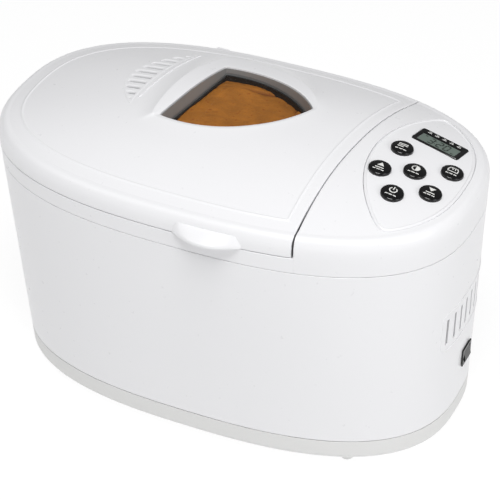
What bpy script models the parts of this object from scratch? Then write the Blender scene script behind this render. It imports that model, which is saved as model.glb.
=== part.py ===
"""Bread machine: an oval white housing with a hinged domed lid and a sloping control console.

Frame: metres, +Z up, +X towards the console, -Y towards the front.  The origin is on the ground
under the middle of the machine's box.  Every named object is one separate physical piece.
"""
import math

import bmesh
import bpy
from mathutils import Matrix, Vector

MM = 0.001

# ---- Housing: an oval column that tapers towards its base -------------------------------------
BODY_LENGTH = 450 * MM          # along X, at the rim
BODY_DEPTH = 275 * MM           # along Y, at the rim
OVAL_POWER = 2.6                # 2 is an ellipse, more is squarer
TAPER_LEFT = 20 * MM            # how far the left end draws in from the rim to the base
TAPER_RIGHT = 5 * MM
TAPER_DEPTH = 11 * MM
WALL = 2.5 * MM                 # moulded housing walls
FIT = 0.35 * MM                 # gap between pieces that rest on or in each other
SEAM = 0.6 * MM                 # visible parting line between housing parts

FOOT_HEIGHT = 7 * MM
BASE_HEIGHT = 21 * MM           # base tray, from its underside to its seam
BODY_HEIGHT = 188 * MM          # side shell
COVER_BAND_HEIGHT = 16 * MM     # band of the top cover below the lid
LID_BAND_HEIGHT = 4 * MM        # straight part of the lid's edge
SHOULDER_RISE = 16 * MM
SHOULDER_INSET = 10 * MM
DOME_RISE = 22 * MM
BASE_ROUNDING = 5 * MM

BODY_BOTTOM = FOOT_HEIGHT
BASE_SEAM_Z = BODY_BOTTOM + BASE_HEIGHT
COVER_SEAM_Z = BASE_SEAM_Z + BODY_HEIGHT
LID_SEAM_Z = COVER_SEAM_Z + COVER_BAND_HEIGHT
RIM_Z = LID_SEAM_Z + LID_BAND_HEIGHT
CREASE_Z = RIM_Z + SHOULDER_RISE
OVAL_STEPS = 48                 # points round each oval ring

# ---- Lid ---------------------------------------------------------------------------------------
CONSOLE_LENGTH = 116 * MM       # from the lid's parting line, at its middle, to the right-hand end
LID_END_X = BODY_LENGTH / 2 - CONSOLE_LENGTH
LID_END_SWEEP = 11 * MM         # how far the parting line swings right at its rear end
LID_WALL = 2.8 * MM
LID_GRIP_X = 32 * MM            # middle of the front grip
LID_GRIP_WIDTH = 64 * MM
LID_GRIP_OVERHANG = 12 * MM
LID_GRIP_THICKNESS = 9 * MM
LINER_Z = CREASE_Z - 11 * MM
LINER_WALL = 1.2 * MM
LINER_SKIRT = 7 * MM
LINER_CLEARANCE = 3.2 * MM      # between the liner's skirt and the lid's wall
WINDOW_FRAME_WALL = 2 * MM
GLASS_Z = CREASE_Z + 5.5 * MM
GLASS_THICKNESS = 3 * MM
VENT_COUNT = 11
VENT_SLOT = 4 * MM
VENT_FRONT_TIP = (-101 * MM, -19 * MM)
VENT_LEFT_MIDDLE = (-125 * MM, 35 * MM)
VENT_RIGHT_MIDDLE = (-101 * MM, 32 * MM)
VENT_REAR_TIP = (-90 * MM, 95 * MM)
HINGE_OFFSET = 5.2 * MM         # axis behind the rear wall
HINGE_RADIUS = 4.5 * MM
HINGE_ARM_WIDTH = 15 * MM
HINGE_LUG_WIDTH = 6 * MM
HINGE_PIN_RADIUS = 2 * MM
HINGE_SPACING = 120 * MM
HINGE_RIGHT_SHIFT = 30 * MM      # the pair's middle, right of the chamber's middle

# Window: three corners, with a straight left side and bulging front and rear sides.
WINDOW_CORNERS = [(-66 * MM, -29 * MM), (54 * MM, 38 * MM), (-53 * MM, 81 * MM)]
WINDOW_FRONT_MIDDLE = (4 * MM, -22 * MM)
WINDOW_REAR_MIDDLE = (12 * MM, 73 * MM)

# ---- Console -----------------------------------------------------------------------------------
PANEL_THICKNESS = 2.5 * MM
PANEL_EDGE_SCALE = 0.985        # the panel's right edge follows the dome's edge at this scale
PANEL_FRONT_SPACE = 51 * MM     # from the housing's front to the panel's front tip
PANEL_REAR_SPACE = 44 * MM
PANEL_LEFT_SPACE = 15 * MM      # from the lid's parting line to the panel's bulging left edge
BUTTON_RADIUS = 10.2 * MM
BUTTON_PROUD = 2.4 * MM         # side of the button above the panel
BUTTON_CROWN = 1.4 * MM
BUTTON_SKIRT = 5 * MM
BUTTON_GRID_X = LID_END_X + 58 * MM
BUTTON_GRID_Y = -13.5 * MM      # middle of the whole group
BUTTON_GRID_TURN = math.radians(-8)
BUTTON_COLUMN_PITCH = 25 * MM
BUTTON_ROW_PITCH = 39 * MM
BUTTON_MIDDLE_DROP = 22 * MM    # the middle column sits this much lower than the outer ones
DISPLAY_X = LID_END_X + 62 * MM
DISPLAY_Y = 50 * MM
DISPLAY_TURN = math.radians(-10)
DISPLAY_SIZE = (48 * MM, 23 * MM, 4 * MM)
DISPLAY_OPENING = (39 * MM, 13 * MM)
DISPLAY_OPENING_DROP = 2.5 * MM
DISPLAY_PROUD = 0.8 * MM
BOARD_DEPTH = 18 * MM           # control board below the panel's surface

# ---- Baking chamber, pan and paddles ------------------------------------------------------------
CHAMBER_LEFT_SPACE = 39 * MM    # from the housing's left end
CHAMBER_RIGHT_SPACE = 33 * MM   # to the lid's parting line
CHAMBER_SIDE_SPACE = 50.5 * MM
CHAMBER_LENGTH = BODY_LENGTH - CONSOLE_LENGTH - CHAMBER_LEFT_SPACE - CHAMBER_RIGHT_SPACE
CHAMBER_WIDTH = BODY_DEPTH - 2 * CHAMBER_SIDE_SPACE
CHAMBER_X = -BODY_LENGTH / 2 + CHAMBER_LEFT_SPACE + CHAMBER_LENGTH / 2
CHAMBER_CORNER = 42 * MM
CHAMBER_WALL = 1.2 * MM
CHAMBER_FLANGE = 8 * MM
CHAMBER_FLOOR_Z = BODY_BOTTOM + 49 * MM
CHAMBER_BEND = 6 * MM
PAN_END_SPACE = 18.5 * MM
PAN_SIDE_SPACE = 19.5 * MM
PAN_LENGTH = CHAMBER_LENGTH - 2 * PAN_END_SPACE
PAN_WIDTH = CHAMBER_WIDTH - 2 * PAN_SIDE_SPACE
PAN_CORNER = 28 * MM
PAN_DRAFT = 4 * MM
PAN_WALL = 1.2 * MM
PAN_LIP = 3 * MM
PAN_BEND = 7 * MM
PAN_BOTTOM_Z = CHAMBER_FLOOR_Z + 24 * MM
PAN_RIM_Z = LID_SEAM_Z - 54 * MM
PADDLE_SPACING = PAN_LENGTH - 115 * MM
PADDLE_CLEARANCE = 10 * MM      # to the other paddle and to the pan's long sides
PADDLE_END_SPACE = 12.5 * MM    # to the pan's end, which leans in
PADDLE_REACH = min(min(PADDLE_SPACING, PAN_WIDTH) / 2 - PADDLE_CLEARANCE,
                   (PAN_LENGTH - PADDLE_SPACING) / 2 - PADDLE_END_SPACE)
PADDLE_HUB_RADIUS = 9 * MM
PADDLE_HEIGHT = 24 * MM
SPINDLE_RADIUS = 5 * MM
BAIL_REACH = PAN_WIDTH / 2 + 10 * MM
BAIL_HEADROOM = 8 * MM         # between the upright bail's middle line and the lid's liner
BAIL_PIVOT_Z = LINER_Z - BAIL_HEADROOM - BAIL_REACH
BAIL_WIRE_RADIUS = 2.5 * MM
BAIL_CORNER = 20 * MM
EAR_SIZE = (20 * MM, 24 * MM)
EAR_THICKNESS = 1.5 * MM
EAR_STANDOFF = 1.2 * MM
BASE_RING_HALF = (PADDLE_SPACING / 2 + 41 * MM, 46 * MM)
BASE_RING_CORNER = 24 * MM
BASE_RING_WALL = 1.5 * MM
ELEMENT_Z = CHAMBER_FLOOR_Z + 20 * MM
ELEMENT_RADIUS = 3.2 * MM
ELEMENT_CORNER = 36 * MM
ELEMENT_CLEARANCE = 9 * MM
ELEMENT_LEAD_Y = 12 * MM
SENSOR_Z = CHAMBER_FLOOR_Z + 64 * MM
SENSOR_RADIUS = 3 * MM

# ---- Drive ---------------------------------------------------------------------------------------
MOTOR_X = BODY_LENGTH / 2 - 65 * MM
MOTOR_Y = -8 * MM
MOTOR_RADIUS = 33 * MM
MOTOR_HEIGHT = 84 * MM
SHAFT_RADIUS = 4 * MM
SHAFT_BOTTOM_Z = 14 * MM
MOTOR_PULLEY_RADIUS = 9 * MM
DRIVE_PULLEY_RADIUS = 45 * MM
LINK_PULLEY_RADIUS = 16 * MM
DRIVE_PULLEY_Z = 17 * MM
LINK_PULLEY_Z = 32 * MM
PULLEY_HEIGHT = 12 * MM
PULLEY_RIM = 1.6 * MM
PULLEY_FLANGE = 3 * MM
BELT_THICKNESS = 2 * MM
WING_SIZE = (30 * MM, 7 * MM, 5.5 * MM)
COUPLER_RADIUS = 17 * MM
COUPLER_Z = CHAMBER_FLOOR_Z + 5 * MM
COUPLER_PLATE = 3 * MM
CHASSIS_THICKNESS = 2 * MM
CHASSIS_END_SPACES = (55 * MM, 35 * MM)
CHASSIS_SIDE_SPACE = 79.5 * MM
CHASSIS_POST = 12 * MM
BEARING_RADIUS = 10 * MM
CAPACITOR_RADIUS = 13 * MM

# ---- Mains side and feet --------------------------------------------------------------------------
SIDE_VENT_COUNT = 9
SIDE_VENT_PITCH = 12.5 * MM
SIDE_VENT_FIRST_Y = -39 * MM
SIDE_VENT_Z = 127 * MM
SIDE_VENT_SIZE = (3.2 * MM, 28 * MM)
SWITCH_Y, SWITCH_Z = 9 * MM, 71 * MM
SWITCH_SIZE = (21 * MM, 18 * MM)
ROCKER_SIZE = (14 * MM, 12 * MM)
ROCKER_TILT = math.radians(12)
GLAND_X, GLAND_Z = BODY_LENGTH / 2 - 135 * MM, 45 * MM
GLAND_RADIUS = 8 * MM
FOOT_RADIUS = 6.5 * MM

COLOURS = {                     # name: (red, green, blue), roughness, metallic
    "white_plastic": ((0.86, 0.86, 0.86), 0.25, 0.0),
    "base_plastic": ((0.78, 0.78, 0.76), 0.35, 0.0),
    "grey_plastic": ((0.36, 0.37, 0.37), 0.4, 0.0),
    "black_plastic": ((0.02, 0.02, 0.02), 0.2, 0.0),
    "display": ((0.30, 0.36, 0.31), 0.15, 0.0),
    "glass": ((0.75, 0.80, 0.80), 0.05, 0.0),
    "steel": ((0.62, 0.62, 0.62), 0.3, 1.0),
    "pan_coating": ((0.12, 0.12, 0.125), 0.45, 0.3),
    "rubber": ((0.05, 0.05, 0.05), 0.8, 0.0),
    "board": ((0.05, 0.22, 0.10), 0.5, 0.0),
    "brass": ((0.70, 0.55, 0.25), 0.35, 1.0),
}


# ---- Mesh helpers --------------------------------------------------------------------------------
def material(name):
    """The named Principled material, made once."""
    if name in bpy.data.materials:
        return bpy.data.materials[name]
    colour, roughness, metallic = COLOURS[name]
    made = bpy.data.materials.new(name)
    made.use_nodes = True
    shader = made.node_tree.nodes["Principled BSDF"]
    shader.inputs["Base Color"].default_value = (*colour, 1)
    shader.inputs["Roughness"].default_value = roughness
    shader.inputs["Metallic"].default_value = metallic
    made.diffuse_color = (*colour, 1)
    return made


def add_object(name, mesh, finish=None, smooth=True):
    """Link a mesh as an object, with its material and smooth shading."""
    made = bpy.data.objects.new(name, mesh)
    bpy.context.collection.objects.link(made)
    if finish:
        mesh.materials.clear()
        mesh.materials.append(material(finish))
    if smooth:
        mesh.shade_smooth()
        mesh.set_sharp_from_angle(angle=math.radians(30))
    return made


def from_bmesh(name, bm, finish=None, smooth=True):
    """Weld doubles, turn the faces outwards and make an object."""
    bmesh.ops.remove_doubles(bm, verts=bm.verts, dist=1e-6)
    bmesh.ops.recalc_face_normals(bm, faces=bm.faces)
    mesh = bpy.data.meshes.new(name)
    bm.to_mesh(mesh)
    bm.free()
    return add_object(name, mesh, finish, smooth)


def loft(name, rings, finish=None, closed=False):
    """Skin rings of equal length; a one-point ring is a tip.

    The ends are capped, or, when closed, the last ring is joined to the first to make a sleeve.
    """
    bm = bmesh.new()
    made = [[bm.verts.new(point) for point in ring] for ring in rings]
    pairs = list(zip(made, made[1:]))
    if closed:
        pairs.append((made[-1], made[0]))
    for lower, upper in pairs:
        count = max(len(lower), len(upper))
        for i in range(count):
            j = (i + 1) % count
            corners = [lower[i % len(lower)], lower[j % len(lower)],
                       upper[j % len(upper)], upper[i % len(upper)]]
            bm.faces.new(list(dict.fromkeys(corners)))
    if not closed:
        for ring in (made[0], made[-1]):
            if len(ring) > 2:
                bm.faces.new(ring)
    return from_bmesh(name, bm, finish)


def box(name, low, high, finish=None):
    """A block between two corners."""
    rings = [[(low[0], low[1], z), (high[0], low[1], z), (high[0], high[1], z), (low[0], high[1], z)]
             for z in (low[2], high[2])]
    return loft(name, rings, finish)


def circle(radius, z, steps, x=0.0, y=0.0):
    """A ring of points; a zero radius gives a tip."""
    if radius == 0:
        return [(x, y, z)]
    turns = (2 * math.pi * i / steps for i in range(steps))
    return [(x + radius * math.cos(a), y + radius * math.sin(a), z) for a in turns]


def turned(name, profile, finish=None, steps=20, closed=False):
    """A turned piece about its own Z axis, from (radius, height) points."""
    return loft(name, [circle(r, z, steps) for r, z in profile], finish, closed)


def sleeve(name, bore, radius, low, high, finish=None, steps=20):
    """A round sleeve with a plain bore."""
    return turned(name, [(radius, low), (radius, high), (bore, high), (bore, low)], finish, steps, True)


def rounded_rectangle(half_x, half_y, radius, z, x=0.0, y=0.0, arc=5):
    """A ring with quarter-circle corners."""
    ring = []
    for corner, (sx, sy) in enumerate([(1, 1), (-1, 1), (-1, -1), (1, -1)]):
        for step in range(arc + 1):
            a = math.pi / 2 * (corner + step / arc)
            ring.append((x + sx * (half_x - radius) + radius * math.cos(a),
                         y + sy * (half_y - radius) + radius * math.sin(a), z))
    return ring


def place(made, location, rotation=None):
    """Move a piece whose mesh is at the origin, and bake nothing: the origin stays on its axis."""
    matrix = Matrix.Translation(Vector(location))
    if rotation:
        matrix = matrix @ rotation.to_4x4()
    made.matrix_world = matrix
    return made


def combine(target, tool, operation="DIFFERENCE"):
    """Cut, join or intersect the target with a tool, which is used up."""
    modifier = target.modifiers.new("combine", "BOOLEAN")
    modifier.operation = operation
    modifier.object = tool
    modifier.solver = "EXACT"
    bpy.context.view_layer.update()
    graph = bpy.context.evaluated_depsgraph_get()
    result = bpy.data.meshes.new_from_object(target.evaluated_get(graph), depsgraph=graph)
    target.modifiers.clear()
    old = target.data
    finish = old.materials[0] if old.materials else None
    result.materials.clear()
    if finish:
        result.materials.append(finish)
    bm = bmesh.new()
    bm.from_mesh(result)
    bmesh.ops.remove_doubles(bm, verts=bm.verts, dist=2e-6)
    bmesh.ops.dissolve_degenerate(bm, dist=1e-6, edges=bm.edges)
    slits = [edge for edge in bm.edges if edge.is_boundary]
    bmesh.ops.holes_fill(bm, edges=slits, sides=0)
    bm.to_mesh(result)
    bm.free()
    result.shade_smooth()
    result.set_sharp_from_angle(angle=math.radians(30))
    target.data = result
    bpy.data.meshes.remove(old)
    bpy.data.objects.remove(tool)
    return target


# ---- The housing's form --------------------------------------------------------------------------
def half_sizes(z):
    """Half lengths to the left and right and half depth of the column at a height."""
    share = min(1, max(0, (RIM_Z - z) / (RIM_Z - BODY_BOTTOM)))
    return (BODY_LENGTH / 2 - TAPER_LEFT * share,
            BODY_LENGTH / 2 - TAPER_RIGHT * share,
            BODY_DEPTH / 2 - TAPER_DEPTH * share)


def oval(z, inset=0.0, scale=1.0, height=None):
    """A ring of the column at a height, drawn in by an inset and scaled about the middle."""
    left, right, depth = half_sizes(z)
    ring = []
    for i in range(OVAL_STEPS):
        a = 2 * math.pi * (i + 0.5) / OVAL_STEPS
        c, s = math.cos(a), math.sin(a)
        x = math.copysign(abs(c) ** (2 / OVAL_POWER), c) * ((right if c > 0 else left) - inset)
        y = math.copysign(abs(s) ** (2 / OVAL_POWER), s) * (depth - inset)
        ring.append((x * scale, y * scale, z if height is None else height))
    return ring


def wall_y(x, z, inset=0.0):
    """Y of the rear wall at a place along the column."""
    left, right, depth = half_sizes(z)
    reach = (right if x > 0 else left) - inset
    return (depth - inset) * (1 - (abs(x) / reach) ** OVAL_POWER) ** (1 / OVAL_POWER)


def wall_x(y, z):
    """X of the right-hand wall at a place across the column."""
    _, right, depth = half_sizes(z)
    return right * (1 - (abs(y) / depth) ** OVAL_POWER) ** (1 / OVAL_POWER)


def cap_rings(bottom, inset=0.0):
    """The closed top of the housing from a height up: straight edge, shoulder and dome."""
    rings = [oval(bottom, inset), oval(RIM_Z, inset, height=RIM_Z - inset)]
    for degrees in (25, 50, 75):
        a = math.radians(degrees)
        rings.append(oval(RIM_Z, inset + SHOULDER_INSET * (1 - math.cos(a)),
                          height=RIM_Z - inset + SHOULDER_RISE * math.sin(a)))
    for share in (1, 0.87, 0.7, 0.5, 0.25):
        rings.append(oval(RIM_Z, inset + SHOULDER_INSET, share,
                          CREASE_Z - inset + DOME_RISE * (1 - share ** 2)))
    rings.append([(0, 0, CREASE_Z - inset + DOME_RISE)])
    return rings


def dome_z(x, y):
    """Height of the domed top surface."""
    left, right, depth = half_sizes(RIM_Z)
    reach = (right if x > 0 else left) - SHOULDER_INSET
    share = ((abs(x) / reach) ** OVAL_POWER + (abs(y) / (depth - SHOULDER_INSET)) ** OVAL_POWER)
    return CREASE_Z + DOME_RISE * (1 - share ** (2 / OVAL_POWER))


def dome_frame(x, y, turn=0.0):
    """Matrix of a seat on the dome: Z is the surface normal, X runs along the machine, then turned."""
    step = 1 * MM
    normal = Vector((dome_z(x - step, y) - dome_z(x + step, y),
                     dome_z(x, y - step) - dome_z(x, y + step), 2 * step)).normalized()
    along = Vector((0, 1, 0)).cross(normal).normalized()
    across = normal.cross(along)
    matrix = Matrix((along, across, normal)).transposed().to_4x4()
    matrix.translation = (x, y, dome_z(x, y))
    return matrix @ Matrix.Rotation(turn, 4, "Z")


def arc_through(start, middle, end, steps):
    """Points of the circular arc through three plan points, without its last point."""
    ax, ay = start
    bx, by = middle
    cx, cy = end
    d = 2 * (ax * (by - cy) + bx * (cy - ay) + cx * (ay - by))
    a, b, c = (x * x + y * y for x, y in (start, middle, end))
    ux = (a * (by - cy) + b * (cy - ay) + c * (ay - by)) / d
    uy = (a * (cx - bx) + b * (ax - cx) + c * (bx - ax)) / d
    radius = math.hypot(ax - ux, ay - uy)
    first = math.atan2(ay - uy, ax - ux)
    sweep = (math.atan2(cy - uy, cx - ux) - first) % (2 * math.pi)
    via = (math.atan2(by - uy, bx - ux) - first) % (2 * math.pi)
    if via > sweep:
        sweep -= 2 * math.pi
    return [(ux + radius * math.cos(first + sweep * i / steps),
             uy + radius * math.sin(first + sweep * i / steps)) for i in range(steps)]


def inset_outline(points, distance):
    """Move a closed counter-clockwise plan outline inwards by a distance, with mitred corners."""
    count = len(points)
    moved = []
    for i, (x, y) in enumerate(points):
        px, py = points[i - 1]
        nx, ny = points[(i + 1) % count]
        a = Vector((x - px, y - py)).normalized()
        b = Vector((nx - x, ny - y)).normalized()
        inward = Vector((-a.y - b.y, a.x + b.x)).normalized()
        spread = max(0.35, inward.dot(Vector((-a.y, a.x))))
        moved.append((x + inward.x * distance / spread, y + inward.y * distance / spread))
    return moved


def window_outline(inset=0.0):
    """Plan of the window, counter-clockwise from its front left corner."""
    front_left, right, rear_left = WINDOW_CORNERS
    points = arc_through(front_left, WINDOW_FRONT_MIDDLE, right, 10)
    points += arc_through(right, WINDOW_REAR_MIDDLE, rear_left, 8)
    points.append(rear_left)
    return inset_outline(points, inset)


def panel_outline(inset=0.0):
    """Plan of the control panel, a leaf whose right edge follows the dome's edge."""
    _, right, depth = half_sizes(RIM_Z)
    reach = PANEL_EDGE_SCALE * (right - SHOULDER_INSET)
    breadth = PANEL_EDGE_SCALE * (depth - SHOULDER_INSET)
    front, rear = -depth + PANEL_FRONT_SPACE, depth - PANEL_REAR_SPACE
    steps = 14
    points = []
    for i in range(steps + 1):
        y = front + (rear - front) * (1 - math.cos(math.pi * i / steps)) / 2
        points.append((reach * (1 - (abs(y) / breadth) ** OVAL_POWER) ** (1 / OVAL_POWER), y))
    middle = (LID_END_X + PANEL_LEFT_SPACE, (front + rear) / 2 + 10 * MM)
    points += arc_through(points[-1], middle, points[0], 10)[1:]
    return inset_outline(points, inset)


def prism(name, outline, low, high, finish=None):
    """An upright prism over a plan outline."""
    return loft(name, [[(x, y, z) for x, y in outline] for z in (low, high)], finish)


def rod_between(name, start, end, radius, steps=16):
    """A plain round rod between two points."""
    start, end = Vector(start), Vector(end)
    length = (end - start).length
    made = turned(name, [(0, 0), (radius, 0), (radius, length), (0, length)], steps=steps)
    turn = (end - start).to_track_quat("Z", "Y").to_matrix()
    return place(made, start, turn)


# ---- Housing pieces --------------------------------------------------------------------------------
TOP_MARGIN = 20 * MM            # how far cutters run past what they cut
TOP_Z = CREASE_Z + DOME_RISE + TOP_MARGIN


def lid_side(offset):
    """Plan of everything on the lid's side of the parting line, moved right by an offset."""
    half = BODY_DEPTH / 2
    line = arc_through((LID_END_X, -half), (LID_END_X, 0), (LID_END_X + LID_END_SWEEP, half * 0.7), 10)
    line.append((LID_END_X + LID_END_SWEEP, half * 0.7))
    (x0, y0), (x1, y1) = line[-2:]
    line.append((x1 + (x1 - x0) / (y1 - y0) * half, y1 + half))
    line[0] = (line[0][0], -2 * half)
    return [(-BODY_LENGTH, -2 * half)] + [(x + offset, y) for x, y in line] + [(-BODY_LENGTH, line[-1][1])]


def beyond_lid(offset):
    """Plan of everything on the console's side of the parting line."""
    line = lid_side(offset)[1:-1]
    return line[::-1] + [(BODY_LENGTH, line[0][1]), (BODY_LENGTH, line[-1][1])]


def button_seats():
    """Matrix of each button's seat on the dome, by name, in three slanting columns."""
    names = [("menu", "time_up"), ("crust", "start_stop"), ("loaf_size", "time_down")]
    seats = {}
    for column, pair in enumerate(names):
        u = (column - 1) * BUTTON_COLUMN_PITCH
        for row, name in enumerate(pair):
            v = BUTTON_ROW_PITCH * (0.5 - row) + BUTTON_MIDDLE_DROP * (-0.5 if column == 1 else 0.5)
            c, s = math.cos(BUTTON_GRID_TURN), math.sin(BUTTON_GRID_TURN)
            seats[name] = dome_frame(BUTTON_GRID_X + u * c - v * s, BUTTON_GRID_Y + u * s + v * c)
    return seats


def make_base_tray():
    floor = BODY_BOTTOM + WALL
    rings = [oval(BODY_BOTTOM, BASE_ROUNDING)]
    for degrees in (30, 60):
        a = math.radians(degrees)
        rings.append(oval(BODY_BOTTOM, BASE_ROUNDING * (1 - math.sin(a)),
                          height=BODY_BOTTOM + BASE_ROUNDING * (1 - math.cos(a))))
    top = BASE_SEAM_Z - SEAM / 2
    rings += [oval(BODY_BOTTOM + BASE_ROUNDING), oval(top), oval(top, WALL),
              oval(BODY_BOTTOM + BASE_ROUNDING, WALL, height=floor + BASE_ROUNDING),
              oval(BODY_BOTTOM, BASE_ROUNDING + WALL, height=floor)]
    loft("base_tray", rings, "base_plastic")


def foot_places():
    """Plan places of the four feet, just inside the base's edge."""
    left, right, _ = half_sizes(BODY_BOTTOM)
    inset = BASE_ROUNDING + FOOT_RADIUS + 1 * MM
    places = {}
    for side, x in (("left", -0.68 * left), ("right", 0.68 * right)):
        y = wall_y(x, BODY_BOTTOM, inset)
        places["foot_front_" + side] = (x, -y)
        places["foot_rear_" + side] = (x, y)
    return places


def make_feet():
    profile = [(0, 0), (FOOT_RADIUS - 1 * MM, 0), (FOOT_RADIUS, FOOT_HEIGHT - FIT), (0, FOOT_HEIGHT - FIT)]
    for name, (x, y) in foot_places().items():
        place(turned(name, profile, "rubber", 16), (x, y, 0))


def make_outer_body():
    low, high = BASE_SEAM_Z + SEAM / 2, COVER_SEAM_Z - SEAM / 2
    body = loft("outer_body", [oval(low), oval(high), oval(high, WALL), oval(low, WALL)],
                "white_plastic", True)
    width, height = SIDE_VENT_SIZE
    for i in range(SIDE_VENT_COUNT):
        y = SIDE_VENT_FIRST_Y + i * SIDE_VENT_PITCH
        x = wall_x(y, SIDE_VENT_Z)
        slot = box("slot", (x - TOP_MARGIN, y - width / 2, SIDE_VENT_Z - height / 2),
                   (x + TOP_MARGIN, y + width / 2, SIDE_VENT_Z + height / 2))
        combine(body, slot)
    x = wall_x(SWITCH_Y, SWITCH_Z)
    half_y, half_z = SWITCH_SIZE[0] / 2 - 1.5 * MM, SWITCH_SIZE[1] / 2 - 1.5 * MM
    combine(body, box("slot", (x - TOP_MARGIN, SWITCH_Y - half_y, SWITCH_Z - half_z),
                      (x + TOP_MARGIN, SWITCH_Y + half_y, SWITCH_Z + half_z)))
    y = wall_y(GLAND_X, GLAND_Z)
    combine(body, rod_between("hole", (GLAND_X, y - TOP_MARGIN, GLAND_Z), (GLAND_X, y + TOP_MARGIN, GLAND_Z),
                              GLAND_RADIUS + FIT))


def make_top_cover():
    low = COVER_SEAM_Z + SEAM / 2
    deck = LID_SEAM_Z - SEAM / 2
    cover = loft("top_cover", cap_rings(low), "white_plastic")
    combine(cover, prism("tool", lid_side(SEAM), deck, TOP_Z))
    cavity = loft("tool", cap_rings(low - TOP_MARGIN, WALL))
    combine(cavity, prism("tool2", lid_side(SEAM + WALL), deck - WALL, TOP_Z))
    combine(cover, cavity)
    combine(cover, loft("tool", [chamber_ring(-CHAMBER_WALL, z) for z in (low, TOP_Z)]))
    combine(cover, prism("tool", panel_outline(), deck, TOP_Z))
    return cover


def make_control_panel():
    deck = LID_SEAM_Z
    panel = loft("control_panel", cap_rings(deck), "white_plastic")
    below = loft("tool", [[(x, y, z - PANEL_THICKNESS) for x, y, z in ring] for ring in cap_rings(deck)])
    combine(panel, below)
    combine(panel, prism("tool", panel_outline(FIT), deck + TOP_MARGIN / 2, TOP_Z), "INTERSECT")
    hole = BUTTON_RADIUS + FIT
    for seat in button_seats().values():
        profile = [(0, -TOP_MARGIN), (hole, -TOP_MARGIN), (hole, TOP_MARGIN), (0, TOP_MARGIN)]
        cutter = turned("tool", profile)
        cutter.matrix_world = seat
        combine(panel, cutter)
    length, depth, _ = DISPLAY_SIZE
    cutter = box("tool", (-length / 2 - FIT, -depth / 2 - FIT, -TOP_MARGIN),
                 (length / 2 + FIT, depth / 2 + FIT, TOP_MARGIN))
    cutter.matrix_world = dome_frame(DISPLAY_X, DISPLAY_Y, DISPLAY_TURN)
    combine(panel, cutter)


def make_buttons():
    flat = BUTTON_RADIUS - 1.2 * MM
    profile = [(0, -BUTTON_SKIRT), (BUTTON_RADIUS, -BUTTON_SKIRT), (BUTTON_RADIUS, BUTTON_PROUD),
               (flat, BUTTON_PROUD + BUTTON_CROWN * 0.6), (flat * 0.55, BUTTON_PROUD + BUTTON_CROWN * 0.92),
               (0, BUTTON_PROUD + BUTTON_CROWN)]
    for name, seat in button_seats().items():
        made = turned("button_" + name, profile, "black_plastic")
        made.matrix_world = seat


def make_display():
    length, depth, thick = DISPLAY_SIZE
    seat = dome_frame(DISPLAY_X, DISPLAY_Y, DISPLAY_TURN)
    bezel = box("display_bezel", (-length / 2, -depth / 2, DISPLAY_PROUD - thick),
                (length / 2, depth / 2, DISPLAY_PROUD), "black_plastic")
    half_x, half_y = DISPLAY_OPENING[0] / 2, DISPLAY_OPENING[1] / 2
    drop = DISPLAY_OPENING_DROP
    combine(bezel, box("tool", (-half_x, -half_y - drop, -TOP_MARGIN), (half_x, half_y - drop, TOP_MARGIN)))
    bezel.matrix_world = seat
    screen = box("display_screen", (-half_x + FIT, -half_y - drop + FIT, DISPLAY_PROUD - thick),
                 (half_x - FIT, half_y - drop - FIT, DISPLAY_PROUD - 0.8 * MM), "display")
    screen.matrix_world = seat


def make_control_board():
    seat = dome_frame(BUTTON_GRID_X, 0)
    low = -BOARD_DEPTH
    board = box("control_board", (-36 * MM, -60 * MM, low - 1.6 * MM), (32 * MM, 64 * MM, low), "board")
    board.matrix_world = seat


# ---- Lid ---------------------------------------------------------------------------------------------
def vent_slots():
    """The steam slots, as (left x, right x, y), between the two arcs of a crescent."""
    slots = []
    for i in range(VENT_COUNT):
        y = VENT_FRONT_TIP[1] + (VENT_REAR_TIP[1] - VENT_FRONT_TIP[1]) * (i + 0.6) / (VENT_COUNT + 0.2)
        ends = [parabola_x(VENT_FRONT_TIP, middle, VENT_REAR_TIP, y)
                for middle in (VENT_LEFT_MIDDLE, VENT_RIGHT_MIDDLE)]
        slots.append((*ends, y))
    return slots


def parabola_x(first, middle, last, y):
    """X at a given y of the parabola through three plan points."""
    total = 0
    points = (first, middle, last)
    for i, (x, own) in enumerate(points):
        others = [point[1] for j, point in enumerate(points) if j != i]
        total += x * (y - others[0]) * (y - others[1]) / ((own - others[0]) * (own - others[1]))
    return total


def make_lid_shell():
    low = LID_SEAM_Z + SEAM / 2
    lid = loft("lid_shell", cap_rings(low), "white_plastic")
    combine(lid, prism("tool", beyond_lid(-SEAM), 0, TOP_Z))
    cavity = loft("tool", cap_rings(low - TOP_MARGIN, LID_WALL))
    combine(cavity, prism("tool2", beyond_lid(-SEAM - LID_WALL), 0, TOP_Z))
    combine(lid, cavity)
    combine(lid, prism("tool", window_outline(), low, TOP_Z))
    for low_x, high_x, y in vent_slots():
        combine(lid, box("tool", (low_x, y - VENT_SLOT / 2, CREASE_Z - LID_WALL * 2),
                         (high_x, y + VENT_SLOT / 2, TOP_Z)))
    half = LID_GRIP_WIDTH / 2
    rear = -BODY_DEPTH / 2 + LID_WALL / 2
    front = -BODY_DEPTH / 2 - LID_GRIP_OVERHANG
    outline = [(LID_GRIP_X - half, rear)]
    outline += arc_through((LID_GRIP_X - half, -BODY_DEPTH / 2), (LID_GRIP_X, front),
                           (LID_GRIP_X + half, -BODY_DEPTH / 2), 12)
    outline += [(LID_GRIP_X + half, -BODY_DEPTH / 2), (LID_GRIP_X + half, rear)]
    grip = prism("tool", outline, low, low + LID_GRIP_THICKNESS)
    combine(lid, grip, "UNION")


def liner_top(inset):
    """Rings of the liner's outer or inner face: a shallow dish that opens downwards."""
    top = LINER_Z + LINER_WALL - inset
    edge = LID_WALL + LINER_CLEARANCE + inset
    low = LINER_Z - LINER_SKIRT - (TOP_MARGIN if inset else 0)
    return [oval(RIM_Z, edge, height=low), oval(RIM_Z, edge, height=top)]


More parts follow.
